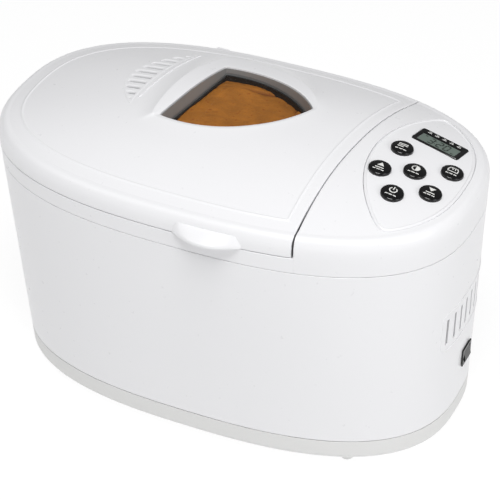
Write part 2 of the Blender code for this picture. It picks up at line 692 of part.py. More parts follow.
def make_lid_liner():
    face = -SEAM - LID_WALL - LINER_CLEARANCE
    liner = loft("lid_liner", liner_top(0), "steel")
    combine(liner, prism("tool", beyond_lid(face), 0, TOP_Z))
    cavity = loft("tool", liner_top(LINER_WALL))
    combine(cavity, prism("tool2", beyond_lid(face - LINER_WALL), 0, TOP_Z))
    combine(liner, cavity)
    combine(liner, prism("tool", window_outline(FIT), LINER_Z - TOP_MARGIN / 2, TOP_Z))
    for low_x, high_x, y in vent_slots()[2:-2:2]:
        x = (low_x + high_x) / 2
        combine(liner, rod_between("tool", (x, y, LINER_Z - TOP_MARGIN / 2), (x, y, TOP_Z), 5 * MM, 12))


def make_window():
    outer = window_outline(2 * FIT)
    inner = window_outline(2 * FIT + WINDOW_FRAME_WALL)
    low = LINER_Z - 1 * MM
    frame = loft("window_frame", [[(x, y, low) for x, y in outer], [(x, y, TOP_Z) for x, y in outer],
                                  [(x, y, TOP_Z) for x, y in inner], [(x, y, low) for x, y in inner]],
                 "grey_plastic", True)
    trim = loft("tool", [[(x, y, z - 1 * MM) for x, y, z in ring] for ring in cap_rings(LID_SEAM_Z)])
    combine(frame, trim, "INTERSECT")
    pane = window_outline(3 * FIT + WINDOW_FRAME_WALL)
    prism("window_glass", pane, GLASS_Z, GLASS_Z + GLASS_THICKNESS, "glass")


def make_hinges():
    axis_y = BODY_DEPTH / 2 + HINGE_OFFSET
    arm, lug = HINGE_ARM_WIDTH / 2, HINGE_LUG_WIDTH
    for side, sign in (("left", -1), ("right", 1)):
        x = CHAMBER_X + HINGE_RIGHT_SHIFT + sign * HINGE_SPACING / 2
        wall = max(wall_y(x - arm - lug, RIM_Z), wall_y(x + arm + lug, RIM_Z)) + FIT
        origin = Vector((x, axis_y, LID_SEAM_Z))
        knuckle = rod_between("lid_hinge_arm_" + side, (x - arm, axis_y, LID_SEAM_Z),
                              (x + arm, axis_y, LID_SEAM_Z), HINGE_RADIUS)
        bake(knuckle)
        tongue = box("tool", (x - arm + 1 * MM, wall, LID_SEAM_Z + 1 * MM),
                     (x + arm - 1 * MM, axis_y + 1 * MM, LID_SEAM_Z + 11 * MM))
        combine(knuckle, tongue, "UNION")
        combine(knuckle, rod_between("tool", (x - arm - lug, axis_y, LID_SEAM_Z),
                                     (x + arm + lug, axis_y, LID_SEAM_Z), HINGE_PIN_RADIUS + FIT, 12))
        knuckle.data.materials.append(material("white_plastic"))
        set_origin(knuckle, origin)
        outer = arm + FIT + lug
        bracket = box("hinge_bracket_" + side, (x - outer, wall, COVER_SEAM_Z + 1 * MM),
                      (x + outer, wall + 3.2 * MM, LID_SEAM_Z - HINGE_RADIUS - 1.5 * MM), "white_plastic")
        for end in (-1, 1):
            near, far = x + end * (arm + FIT), x + end * outer
            combine(bracket, box("tool", (min(near, far), wall, LID_SEAM_Z - HINGE_RADIUS - 6 * MM),
                                 (max(near, far), axis_y + HINGE_RADIUS * 0.6, LID_SEAM_Z)), "UNION")
            ear = rod_between("tool", (near, axis_y, LID_SEAM_Z), (far, axis_y, LID_SEAM_Z), HINGE_RADIUS)
            combine(bracket, ear, "UNION")
        combine(bracket, rod_between("tool", (x - outer + 1 * MM, axis_y, LID_SEAM_Z),
                                     (x + outer - 1 * MM, axis_y, LID_SEAM_Z), HINGE_PIN_RADIUS, 12), "UNION")


def bake(made):
    """Put an object's placement into its mesh, so that later cuts share the world frame."""
    made.data.transform(made.matrix_world)
    made.matrix_world = Matrix.Identity(4)


def set_origin(made, origin):
    """Move an object's origin to a world point and leave its shape where it is."""
    made.data.transform(Matrix.Translation(-Vector(origin)))
    made.location = origin


# ---- Chamber, pan and paddles --------------------------------------------------------------------------
def chamber_ring(inset, z):
    return rounded_rectangle(CHAMBER_LENGTH / 2 - inset, CHAMBER_WIDTH / 2 - inset, CHAMBER_CORNER - inset,
                             z, CHAMBER_X)


def spindle_xs():
    return {"left": CHAMBER_X - PADDLE_SPACING / 2, "right": CHAMBER_X + PADDLE_SPACING / 2}


def make_chamber():
    top = LID_SEAM_Z - SEAM / 2 - WALL - FIT
    edge = CHAMBER_BEND
    floor = CHAMBER_FLOOR_Z
    rings = [chamber_ring(edge, floor), chamber_ring(0, floor + edge),
             chamber_ring(0, top - CHAMBER_WALL), chamber_ring(-CHAMBER_FLANGE, top - CHAMBER_WALL),
             chamber_ring(-CHAMBER_FLANGE, top), chamber_ring(CHAMBER_WALL, top),
             chamber_ring(CHAMBER_WALL, floor + edge),
             chamber_ring(edge + CHAMBER_WALL, floor + CHAMBER_WALL)]
    chamber = loft("baking_chamber", rings, "steel")
    for x in spindle_xs().values():
        combine(chamber, rod_between("tool", (x, 0, floor - edge), (x, 0, floor + edge),
                                     BEARING_RADIUS + FIT))
    wall = CHAMBER_X + CHAMBER_LENGTH / 2
    for y in (-ELEMENT_LEAD_Y, ELEMENT_LEAD_Y):
        combine(chamber, rod_between("tool", (wall - edge, y, ELEMENT_Z), (wall + edge, y, ELEMENT_Z),
                                     ELEMENT_RADIUS + FIT, 12))
    wall = -CHAMBER_WIDTH / 2
    combine(chamber, rod_between("tool", (CHAMBER_X, wall - edge, SENSOR_Z),
                                 (CHAMBER_X, wall + edge, SENSOR_Z), SENSOR_RADIUS + FIT, 12))


def wire(name, points, radius, finish, resolution=1):
    """A round wire along points, as a curve with filled ends."""
    curve = bpy.data.curves.new(name, "CURVE")
    curve.dimensions = "3D"
    curve.bevel_depth = radius
    curve.bevel_resolution = resolution
    curve.use_fill_caps = True
    spline = curve.splines.new("POLY")
    spline.points.add(len(points) - 1)
    for spot, point in zip(spline.points, points):
        spot.co = (*point, 1)
    curve.materials.append(material(finish))
    made = bpy.data.objects.new(name, curve)
    bpy.context.collection.objects.link(made)
    return made


def bend(centre, radius, start, sweep, steps=6):
    """Plan points of an arc, angles in degrees."""
    return [(centre[0] + radius * math.cos(math.radians(start + sweep * i / steps)),
             centre[1] + radius * math.sin(math.radians(start + sweep * i / steps)))
            for i in range(steps + 1)]


def make_element():
    half_x = CHAMBER_LENGTH / 2 - ELEMENT_CLEARANCE
    half_y = CHAMBER_WIDTH / 2 - ELEMENT_CLEARANCE
    lead = CHAMBER_X + CHAMBER_LENGTH / 2 + 12 * MM
    turn = 8 * MM
    cx, cy = half_x - ELEMENT_CORNER, half_y - ELEMENT_CORNER
    half = [(lead - CHAMBER_X, ELEMENT_LEAD_Y)]
    half += bend((half_x + turn, ELEMENT_LEAD_Y + turn), turn, -90, -90, 4)
    half += bend((cx, cy), ELEMENT_CORNER, 0, 90) + bend((-cx, cy), ELEMENT_CORNER, 90, 90)
    points = half + [(x, -y) for x, y in reversed(half)]
    wire("heating_element", [(CHAMBER_X + x, y, ELEMENT_Z) for x, y in points], ELEMENT_RADIUS, "steel")


def make_sensor():
    wall = -CHAMBER_WIDTH / 2
    inside, outside, head = 8 * MM, 6 * MM, 6 * MM
    profile = [(0, -outside), (head, -outside), (head, -FIT), (SENSOR_RADIUS, -FIT),
               (SENSOR_RADIUS, inside), (0, inside)]
    made = turned("temperature_sensor", profile, "brass", 12)
    place(made, (CHAMBER_X, wall, SENSOR_Z), Matrix.Rotation(math.radians(-90), 3, "X"))


def pan_ring(inset, z, x=CHAMBER_X):
    share = (PAN_RIM_Z - z) / (PAN_RIM_Z - PAN_BOTTOM_Z)
    inset = inset + PAN_DRAFT * share
    return rounded_rectangle(PAN_LENGTH / 2 - inset, PAN_WIDTH / 2 - inset, PAN_CORNER - inset, z, x)


def pan_half_length(z):
    return PAN_LENGTH / 2 - PAN_DRAFT * (PAN_RIM_Z - z) / (PAN_RIM_Z - PAN_BOTTOM_Z)


def make_pan():
    corner = PAN_BEND
    lip = 2 * MM
    rings = [pan_ring(corner, PAN_BOTTOM_Z), pan_ring(corner * 0.3, PAN_BOTTOM_Z + corner * 0.3),
             pan_ring(0, PAN_BOTTOM_Z + corner), pan_ring(0, PAN_RIM_Z - lip),
             pan_ring(-PAN_LIP, PAN_RIM_Z - lip),
             pan_ring(-PAN_LIP, PAN_RIM_Z), pan_ring(PAN_WALL, PAN_RIM_Z),
             pan_ring(PAN_WALL, PAN_BOTTOM_Z + corner), pan_ring(PAN_WALL + corner, PAN_BOTTOM_Z + PAN_WALL)]
    pan = loft("bread_pan", rings, "pan_coating")
    for x in spindle_xs().values():
        combine(pan, rod_between("tool", (x, 0, PAN_BOTTOM_Z - corner), (x, 0, PAN_BOTTOM_Z + corner),
                                 SPINDLE_RADIUS + FIT, 20))
    half = pan_half_length(BAIL_PIVOT_Z)
    for sign in (-1, 1):
        near = CHAMBER_X + sign * (half + EAR_STANDOFF)
        far = near + sign * EAR_THICKNESS
        inner = CHAMBER_X + sign * (half - PAN_WALL / 2)
        wide, tall = EAR_SIZE[0] / 2, EAR_SIZE[1]
        foot = BAIL_PIVOT_Z - tall / 3
        ear = box("tool", (min(near, far), -wide, foot), (max(near, far), wide, foot + tall))
        combine(pan, ear, "UNION")
        stand = box("tool", (min(inner, far), -wide + 1 * MM, foot + tall * 0.7),
                    (max(inner, far), wide - 1 * MM, foot + tall - 1 * MM))
        combine(pan, stand, "UNION")
        combine(pan, rod_between("tool", (near - sign * 0.8 * MM, 0, BAIL_PIVOT_Z),
                                 (far + sign * 2 * MM, 0, BAIL_PIVOT_Z), BAIL_WIRE_RADIUS + FIT, 12))


def make_pan_base():
    low = CHAMBER_FLOOR_Z + CHAMBER_WALL + FIT
    high = PAN_BOTTOM_Z - FIT
    half_x, half_y = BASE_RING_HALF
    rings = [rounded_rectangle(half_x - d, half_y - d, BASE_RING_CORNER - d, z, CHAMBER_X)
             for d, z in ((0, low), (0, high), (BASE_RING_WALL, high), (BASE_RING_WALL, low))]
    loft("pan_base_ring", rings, "steel", True)
    for side, sign in (("front", -1), ("rear", 1)):
        near = sign * (half_y + FIT)
        points = [(near, 0), (near, 12 * MM), (near + sign * 2 * MM, 15 * MM),
                  (near + sign * 3.2 * MM, 15 * MM),
                  (near + sign * 1.2 * MM, 12 * MM), (near + sign * 1.2 * MM, 1.2 * MM),
                  (near + sign * 12 * MM, 1.2 * MM), (near + sign * 12 * MM, 0)]
        rings = [[(x, y, low + z) for y, z in points] for x in (CHAMBER_X - 12 * MM, CHAMBER_X + 12 * MM)]
        loft("pan_clip_" + side, rings, "steel")


def make_bail():
    half = pan_half_length(BAIL_PIVOT_Z)
    start = half + EAR_STANDOFF
    arm = start + EAR_THICKNESS + 4.5 * MM
    r, c = 4 * MM, BAIL_CORNER
    side = [(start, 0), (arm - r, 0)] + bend((arm - r, r), r, -90, 90, 3)[1:]
    side += bend((arm - c, BAIL_REACH - c), c, 0, 90, 5)
    points = side + [(-x, y) for x, y in reversed(side)]
    bail = wire("pan_handle", [(x, y, 0) for x, y in points], BAIL_WIRE_RADIUS, "steel")
    bail.location = (CHAMBER_X, 0, BAIL_PIVOT_Z)


def make_paddle_drive():
    """Each side's paddle, pan spindle with its wing, seal, coupler, drive shaft and bearing."""
    wing_low = COUPLER_Z + COUPLER_PLATE + 1.5 * MM
    wing_high = wing_low + WING_SIZE[2]
    hub_low = PAN_BOTTOM_Z + PAN_WALL + 5 * MM
    hub_high = hub_low + PADDLE_HEIGHT
    for side, x in spindle_xs().items():
        profile = [(0, wing_low), (SPINDLE_RADIUS, wing_low), (SPINDLE_RADIUS, hub_high + 1 * MM),
                   (SPINDLE_RADIUS - 2 * MM, hub_high + 3 * MM), (0, hub_high + 3 * MM)]
        spindle = turned("pan_spindle_" + side, profile, "steel")
        length, width, _ = WING_SIZE
        wing = box("tool", (-length / 2, -width / 2, wing_low), (length / 2, width / 2, wing_high))
        combine(spindle, wing, "UNION")
        place(spindle, (x, 0, 0))
        seal = sleeve("spindle_seal_" + side, SPINDLE_RADIUS + FIT, SPINDLE_RADIUS + 5 * MM,
                      PAN_BOTTOM_Z + PAN_WALL + FIT, hub_low - FIT, "rubber")
        place(seal, (x, 0, 0))
        profile = [(0, hub_low), (PADDLE_HUB_RADIUS, hub_low), (PADDLE_HUB_RADIUS - 1.5 * MM, hub_high),
                   (0, hub_high)]
        paddle = turned("kneading_paddle_" + side, profile, "pan_coating")
        outline = [(0, 0), (0.55, 0), (0.9, 0.08), (1, 0.3), (0.92, 0.62), (0.6, 0.9), (0, 0.96)]
        blade = []
        for y in (-1.6 * MM, 1.6 * MM):
            blade.append([(u * PADDLE_REACH, y + 3 * MM * u * u, hub_low + v * PADDLE_HEIGHT)
                          for u, v in outline])
        combine(paddle, loft("tool", blade), "UNION")
        combine(paddle, rod_between("tool", (0, 0, hub_low - TOP_MARGIN), (0, 0, hub_high + TOP_MARGIN),
                                    SPINDLE_RADIUS + FIT, 20))
        place(paddle, (x, 0, 0))

        coupler = sleeve("drive_coupler_" + side, SHAFT_RADIUS + FIT, COUPLER_RADIUS, COUPLER_Z,
                         COUPLER_Z + COUPLER_PLATE, "steel")
        for sign in (-1, 1):
            combine(coupler, box("tool", (-3 * MM, sign * 12 * MM - 3.5 * MM, COUPLER_Z + COUPLER_PLATE / 2),
                                 (3 * MM, sign * 12 * MM + 3.5 * MM, wing_high)), "UNION")
        place(coupler, (x, 0, 0))
        bottom = SHAFT_BOTTOM_Z if side == "right" else LINK_PULLEY_Z - 3 * MM
        shaft = turned("drive_shaft_" + side, [(0, bottom), (SHAFT_RADIUS, bottom),
                                               (SHAFT_RADIUS, COUPLER_Z + COUPLER_PLATE + 0.6 * MM),
                                               (0, COUPLER_Z + COUPLER_PLATE + 0.6 * MM)], "steel")
        place(shaft, (x, 0, 0))
        bearing = sleeve("shaft_bearing_" + side, SHAFT_RADIUS + FIT, BEARING_RADIUS,
                         LINK_PULLEY_Z + PULLEY_HEIGHT + 1 * MM, COUPLER_Z - 2 * FIT, "brass")
        place(bearing, (x, 0, 0))
        place(pulley("link_pulley_" + side, LINK_PULLEY_RADIUS, LINK_PULLEY_Z), (x, 0, 0))


def pulley(name, radius, low):
    """A flanged flat-belt pulley with a bore for its shaft."""
    rim = PULLEY_RIM
    high = low + PULLEY_HEIGHT
    bore = SHAFT_RADIUS + FIT
    outer = radius + PULLEY_FLANGE
    profile = [(bore, low), (outer, low), (outer, low + rim), (radius, low + rim), (radius, high - rim),
               (outer, high - rim), (outer, high), (bore, high)]
    return turned(name, profile, "grey_plastic", 24, True)


def belt(name, first, second, low):
    """A flat belt round two pulleys, each given as (x, y, radius)."""
    rim = PULLEY_RIM + FIT
    rings = []
    for offset, z in ((BELT_THICKNESS, low + rim), (BELT_THICKNESS, low + PULLEY_HEIGHT - rim),
                      (0, low + PULLEY_HEIGHT - rim), (0, low + rim)):
        rings.append([(x, y, z) for x, y in belt_line(first, second, FIT + offset)])
    return loft(name, rings, "rubber", True)


def belt_line(first, second, offset, steps=12):
    """The convex loop round two circles, as arcs whose straight runs are outer tangents."""
    (x1, y1, r1), (x2, y2, r2) = first, second
    distance = math.hypot(x2 - x1, y2 - y1)
    heading = math.atan2(y2 - y1, x2 - x1)
    lean = math.acos((r1 - r2) / distance)
    loop = []
    arcs = (((x2, y2, r2), -lean, 2 * lean), ((x1, y1, r1), lean, 2 * math.pi - 2 * lean))
    for (x, y, r), start, sweep in arcs:
        for i in range(steps + 1):
            a = heading + start + sweep * i / steps
            grown = (r + offset) / math.cos(sweep / steps / 2)
            loop.append((x + grown * math.cos(a), y + grown * math.sin(a)))
    return loop


def make_drive():
    right = spindle_xs()["right"]
    left = spindle_xs()["left"]
    place(pulley("drive_pulley", DRIVE_PULLEY_RADIUS, DRIVE_PULLEY_Z), (right, 0, 0))
    place(pulley("motor_pulley", MOTOR_PULLEY_RADIUS, DRIVE_PULLEY_Z), (MOTOR_X, MOTOR_Y, 0))
    belt("drive_belt", (right, 0, DRIVE_PULLEY_RADIUS), (MOTOR_X, MOTOR_Y, MOTOR_PULLEY_RADIUS),
         DRIVE_PULLEY_Z)
    belt("link_belt", (left, 0, LINK_PULLEY_RADIUS), (right, 0, LINK_PULLEY_RADIUS), LINK_PULLEY_Z)
    low = CHAMBER_FLOOR_Z
    high = low + MOTOR_HEIGHT
    bore = SHAFT_RADIUS + FIT
    profile = [(bore, low), (MOTOR_RADIUS, low), (MOTOR_RADIUS, high - 6 * MM), (MOTOR_RADIUS - 6 * MM, high),
               (12 * MM, high), (12 * MM, high + 6 * MM), (bore, high + 6 * MM)]
    place(turned("motor_housing", profile, "steel", 28, True), (MOTOR_X, MOTOR_Y, 0))
    top = high + 10 * MM
    profile = [(0, SHAFT_BOTTOM_Z), (SHAFT_RADIUS, SHAFT_BOTTOM_Z), (SHAFT_RADIUS, top), (0, top)]
    place(turned("motor_shaft", profile, "steel"), (MOTOR_X, MOTOR_Y, 0))


def make_chassis():
    top = CHAMBER_FLOOR_Z - FIT
    low = top - CHASSIS_THICKNESS
    floor = BODY_BOTTOM + WALL + FIT
    x0 = -BODY_LENGTH / 2 + CHASSIS_END_SPACES[0]
    x1 = BODY_LENGTH / 2 - CHASSIS_END_SPACES[1]
    half = BODY_DEPTH / 2 - CHASSIS_SIDE_SPACE
    post = CHASSIS_POST
    chassis = box("chassis", (x0, -half, low), (x1, half, top), "steel")
    for x in (x0, x1 - post):
        for y in (-half, half - post):
            combine(chassis, box("tool", (x, y, floor), (x + post, y + post, top - CHASSIS_THICKNESS / 2)),
                    "UNION")
    for x in spindle_xs().values():
        combine(chassis, rod_between("tool", (x, 0, low - post), (x, 0, top + post), BEARING_RADIUS + FIT))
    combine(chassis, rod_between("tool", (MOTOR_X, MOTOR_Y, low - post), (MOTOR_X, MOTOR_Y, top + post),
                                 SHAFT_RADIUS + 3 * MM))


def make_mains():
    low = CHAMBER_FLOOR_Z
    r = CAPACITOR_RADIUS
    profile = [(0, low), (r, low), (r, low + 44 * MM), (4 * MM, low + 46 * MM), (0, low + 46 * MM)]
    beside = MOTOR_X - MOTOR_RADIUS - r - 10 * MM
    place(turned("motor_capacitor", profile, "grey_plastic", 16), (beside, MOTOR_Y - MOTOR_RADIUS, 0))
    near = MOTOR_Y + MOTOR_RADIUS + 15 * MM
    box("power_board", (MOTOR_X - 40 * MM, near, low + 4 * MM),
        (MOTOR_X + 20 * MM, near + 1.6 * MM, low + 60 * MM), "board")

    x = wall_x(SWITCH_Y, SWITCH_Z) + FIT
    half_y, half_z = SWITCH_SIZE[0] / 2, SWITCH_SIZE[1] / 2
    flange = 1.6 * MM
    body = 1.5 * MM + FIT
    frame = box("switch_frame", (x, SWITCH_Y - half_y, SWITCH_Z - half_z),
                (x + flange, SWITCH_Y + half_y, SWITCH_Z + half_z), "black_plastic")
    depth = 16 * MM
    combine(frame, box("tool", (x - depth, SWITCH_Y - half_y + body, SWITCH_Z - half_z + body),
                       (x + flange / 2, SWITCH_Y + half_y - body, SWITCH_Z + half_z - body)), "UNION")
    wide, tall = ROCKER_SIZE[0] / 2 + FIT, ROCKER_SIZE[1] / 2 + 2 * FIT
    combine(frame, box("tool", (x - depth + 3 * MM, SWITCH_Y - wide, SWITCH_Z - tall),
                       (x + TOP_MARGIN, SWITCH_Y + wide, SWITCH_Z + tall)))
    pivot = Vector((x - 3 * MM, SWITCH_Y, SWITCH_Z))
    half = ROCKER_SIZE[1] / 2
    polar = [(1.22, 47), (1.22, -47), (1.08, -54), (0.8, -90), (0.72, -160), (0.72, 160), (0.8, 90),
             (1.08, 54)]
    side = []
    for share, degrees in polar:
        a = math.radians(degrees) + ROCKER_TILT
        side.append((half * share * math.cos(a), half * share * math.sin(a)))
    rings = [[(a, y, b) for a, b in side] for y in (-ROCKER_SIZE[0] / 2, ROCKER_SIZE[0] / 2)]
    rocker = loft("power_rocker", rings, "black_plastic")
    rocker.location = pivot

    r = GLAND_RADIUS
    flange = r + 4 * MM
    y = wall_y(GLAND_X - flange, GLAND_Z + flange) + FIT
    end = BODY_DEPTH / 2 + LID_GRIP_OVERHANG
    profile = [(0, -8 * MM), (r, -8 * MM), (r, 0), (flange, 0), (flange, 3 * MM),
               (r - 1 * MM, 6 * MM), (r - 2.5 * MM, end - y), (0, end - y)]
    gland = turned("cord_gland", profile, "black_plastic", 16)
    place(gland, (GLAND_X, y, GLAND_Z), Matrix.Rotation(math.radians(-90), 3, "X"))


def main():
    for old in list(bpy.data.objects):
        bpy.data.objects.remove(old)
    make_base_tray()
    make_feet()
    make_outer_body()
    make_top_cover()
    make_control_panel()
    make_buttons()
    make_display()
    make_control_board()
    make_lid_shell()
    make_lid_liner()
    make_window()
    make_hinges()
    make_chamber()
    make_element()
    make_sensor()
    make_pan()
    make_pan_base()
    make_bail()
    make_paddle_drive()
    make_drive()
    make_chassis()
    make_mains()


main()
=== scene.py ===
"""Bread machine: the finished surfaces, materials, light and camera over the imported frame.

Lengths in this file are millimetres, turned to metres when a mesh is made.  +Z is up, +X runs
towards the console and -Y towards the front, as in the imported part.
"""

import bmesh
import bpy
import numpy as np
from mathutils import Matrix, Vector


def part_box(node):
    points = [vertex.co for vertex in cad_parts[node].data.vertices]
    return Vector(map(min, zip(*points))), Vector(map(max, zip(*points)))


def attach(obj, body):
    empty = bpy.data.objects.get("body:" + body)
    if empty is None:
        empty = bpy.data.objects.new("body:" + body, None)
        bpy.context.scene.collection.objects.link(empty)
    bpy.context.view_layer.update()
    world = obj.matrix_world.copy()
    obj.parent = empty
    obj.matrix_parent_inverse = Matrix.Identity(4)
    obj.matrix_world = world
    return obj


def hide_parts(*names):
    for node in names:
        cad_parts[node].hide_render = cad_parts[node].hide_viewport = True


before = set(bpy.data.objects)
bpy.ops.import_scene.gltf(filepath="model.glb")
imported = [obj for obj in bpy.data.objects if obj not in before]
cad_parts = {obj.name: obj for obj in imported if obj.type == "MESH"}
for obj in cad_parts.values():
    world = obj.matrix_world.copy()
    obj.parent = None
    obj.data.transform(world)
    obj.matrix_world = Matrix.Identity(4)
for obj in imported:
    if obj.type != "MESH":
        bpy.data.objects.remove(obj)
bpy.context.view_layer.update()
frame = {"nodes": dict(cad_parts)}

bl_info = {
    "name": "Bread Machine",
    "version": (1, 0, 0),
    "blender": (4, 5, 0),
    "location": "View3D > Sidebar > Bread Machine",
    "description": "Builds the moulded, coated and glazed surfaces of a bread machine",
    "category": "Add Mesh",
}

METRE = 0.001
TAU = 2 * np.pi


def box_mm(node):
    """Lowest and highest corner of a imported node, in millimetres."""
    low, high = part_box(node)
    return np.array(low) / METRE, np.array(high) / METRE


# ---- The form of the housing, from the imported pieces' own boxes ------------------------------------
COVER_LOW = box_mm("top_cover")[0]
TRAY_LOW, TRAY_HIGH = box_mm("base_tray")
BODY_LOW, BODY_HIGH = box_mm("outer_body")
LENGTH = 450.0
DEPTH = 275.0
POWER = 2.6                     # of the oval's outline: 2 is an ellipse, more is squarer
SHOULDER_POWER = 2.7            # of the shoulder's section
TAPER_LEFT, TAPER_RIGHT, TAPER_DEPTH = 20.0, 5.0, 11.0   # how far the wall draws in, rim to floor
BOTTOM = TRAY_LOW[2]
LID_SEAM = 232.0                # middle of the gap under the lid
RIM = 236.0                     # where the straight wall turns into the shoulder
SHOULDER_INSET, SHOULDER_RISE = 10.0, 16.0
CREASE = RIM + SHOULDER_RISE    # where the shoulder meets the dome
DOME_RISE = 22.0
SEAM = 0.6                      # gap between two mouldings
WALL = 2.5
LID_WALL = 2.8
BUTTON_RADIUS = 10.2
CHAMBER_X, CHAMBER_HALF, CHAMBER_CORNER = -55.0, (132.2, 88.2), 43.2   # the opening in the deck

# Plan points, as (x, y).
LID_CENTRE, HOOD_CENTRE, PANEL_CENTRE = (-20.0, 28.0), (165.0, 0.0), (168.0, 4.0)   # where rays start
WINDOW_CORNERS = ((-66.0, -29.0), (54.0, 38.0), (-53.0, 81.0))   # front left, right and rear left
WINDOW_FRONT_VIA = (4.0, -22.0)
WINDOW_REAR_VIA = (12.0, 73.0)
VENT_FRONT, VENT_REAR = (-101.0, -19.0), (-90.0, 95.0)           # the crescent's tips
VENT_LEFT, VENT_RIGHT = (-125.0, 35.0), (-101.0, 32.0)           # the middles of its sides
PARTING = ((109.0, -137.5), (109.0, 0.0), (120.0, 96.25))        # along the lid's right edge

VENT_BED = 4.4                  # depth of the hollow under the louvres
LOUVRES = 11.2                  # pitches of the louvres from tip to tip
GLASS_Z = 257.5                 # underside of the pane
GRIP_X, GRIP_HALF, GRIP_OUT = 32.0, 32.0, 12.0                         # middle, half width and reach
SLOT_COUNT, SLOT_FIRST, SLOT_PITCH, SLOT_HALF = 9, -39.0, 12.5, 1.6    # side slots, across the wall
SLOT_FOOT, SLOT_HEAD = 113.0, 141.0
SWITCH_Y, SWITCH_HALF, SWITCH_FOOT, SWITCH_HEAD = 9.0, 9.2, 63.3, 78.7   # the switch's opening
LOAF_HALF, LOAF_CROWN, LOAF_RISE = (128.0, 93.0), 240.0, 15.5          # crown's edge height and rise


# ---- Settings --------------------------------------------------------------------------------------
def colour_setting(name, description, default):
    """A colour property, as sRGB hex."""
    return bpy.props.StringProperty(name=name, description=description, default=default)


def length_setting(name, description, default):
    """A length property, from a default in millimetres."""
    return bpy.props.FloatProperty(name=name, description=description, default=default * METRE,
                                   min=0.0, unit="LENGTH", subtype="DISTANCE")


class BreadMachineColours(bpy.types.PropertyGroup):
    """sRGB colours of the finishes, as hex."""
    housing: colour_setting("Housing", "Moulded housing and lid", "#EFEFF1")
    base: colour_setting("Base", "Base tray, a warmer white", "#E3E3E2")
    frame: colour_setting("Window frame", "Inner walls of the window", "#8E8F8F")
    gloss_black: colour_setting("Buttons", "Polished black buttons and bezel", "#0C0C0D")
    legend: colour_setting("Legends", "Printed marks on the buttons", "#E9E9E6")
    screen: colour_setting("Screen", "Liquid crystal screen", "#6B7770")
    segment: colour_setting("Segments", "Dark segments of the screen", "#161B18")
    steel: colour_setting("Steel", "Chamber and liner", "#B9BABA")
    coating: colour_setting("Coating", "Non-stick coating of the pan", "#3A3A3C")
    rubber: colour_setting("Rubber", "Feet, seals and belts", "#2A2A2A")
    board: colour_setting("Board", "Circuit boards", "#2C5A38")
    brass: colour_setting("Brass", "Bearings and probe", "#C6A45C")
    plastic: colour_setting("Drive plastic", "Pulleys and capacitor", "#6B6C6E")
    crust: colour_setting("Crust", "Baked loaf", "#E79332")
    floor: colour_setting("Floor", "Studio floor", "#FFFFFF")


class BreadMachineSizes(bpy.types.PropertyGroup):
    """Sizes of the surface details."""
    bead: length_setting("Crease bead", "Height of the bead inside the lid's edge", 0.5)
    bezel: length_setting("Bezel rise", "Height of the ridge round the window", 2.3)
    bezel_spread: length_setting("Bezel spread", "Reach of the hollow outside the ridge", 20.0)
    louvre_depth: length_setting("Louvre depth", "Depth of the steam louvres", 3.4)
    edge: length_setting("Edge rounding", "Rounding of the lid's and the console's parting edges", 0.8)
    panel_bead: length_setting("Panel bead", "Height of the bead round the control panel", 0.6)
    button_radius: length_setting("Button radius", "Radius of each round button", BUTTON_RADIUS)
    wall: length_setting("Lid wall", "Thickness of the moulded lid", LID_WALL)
    bevel: length_setting("Part bevel", "Small bevel on the inner parts' edges", 0.4)


# ---- Mathematics of the form -----------------------------------------------------------------------
def half_sizes(z):
    """Half lengths left and right and half depth at a height: full at the rim, a straight taper below."""
    share = np.clip((RIM - z) / (RIM - BOTTOM), 0, 1)
    return (LENGTH / 2 - TAPER_LEFT * share, LENGTH / 2 - TAPER_RIGHT * share,
            DEPTH / 2 - TAPER_DEPTH * share)


def oval_share(x, y, z, inset):
    """(|x| / half length)^p + (|y| / half depth)^p: one on the wall, less inside it."""
    left, right, depth = half_sizes(z)
    reach = np.where(x > 0, right, left) - inset
    return (np.abs(x) / reach) ** POWER + (np.abs(y) / (depth - inset)) ** POWER


def dome(x, y):
    """Crease height plus a rise that falls with the square of the oval's scale through the point."""
    share = oval_share(x, y, RIM, SHOULDER_INSET)
    return CREASE + DOME_RISE * (1 - share ** (2 / POWER))


def oval_radius(cos, sin, z, inset):
    """Distance from the middle to the wall along a ray: the radius at which oval_share is one."""
    left, right, depth = half_sizes(z)
    reach_x = np.where(cos > 0, right, left) - inset
    return ((np.abs(cos) / reach_x) ** POWER + (np.abs(sin) / (depth - inset)) ** POWER) ** (-1 / POWER)


def wall_x(y, z):
    """X of the right-hand wall at a place across it: half length times (1 - |y / half depth|^p)^(1/p)."""
    _, right, depth = half_sizes(z)
    return right * (1 - (np.abs(y) / depth) ** POWER) ** (1 / POWER)


def circle_through(first, middle, last):
    """Centre and radius of the circle through three plan points."""
    points = np.array((first, middle, last))
    rows = 2 * (points[1:] - points[0])
    level = (points[1:] ** 2).sum(1) - (points[0] ** 2).sum()
    centre = np.linalg.solve(rows, level)
    return centre, np.hypot(*(points[0] - centre))


def arc(first, middle, last, steps):
    """Points at even turns along the circle through three plan points, ends included."""
    centre, radius = circle_through(first, middle, last)
    turns = [np.arctan2(p[1] - centre[1], p[0] - centre[0]) for p in (first, middle, last)]
    sweep = (turns[2] - turns[0]) % TAU
    if (turns[1] - turns[0]) % TAU > sweep:
        sweep -= TAU
    angle = turns[0] + sweep * np.linspace(0, 1, steps)
    return np.stack([centre[0] + radius * np.cos(angle), centre[1] + radius * np.sin(angle)], 1)


def parting_x(y):
    """X of the lid's parting line: a circle's left side, run on straight past its rear point."""
    centre, radius = circle_through(*PARTING)
    end = PARTING[2][1]
    bent = centre[0] - np.sqrt(radius ** 2 - (np.minimum(y, end) - centre[1]) ** 2)
    lean = (end - centre[1]) / np.sqrt(radius ** 2 - (end - centre[1]) ** 2)
    return bent + np.maximum(y - end, 0) * lean


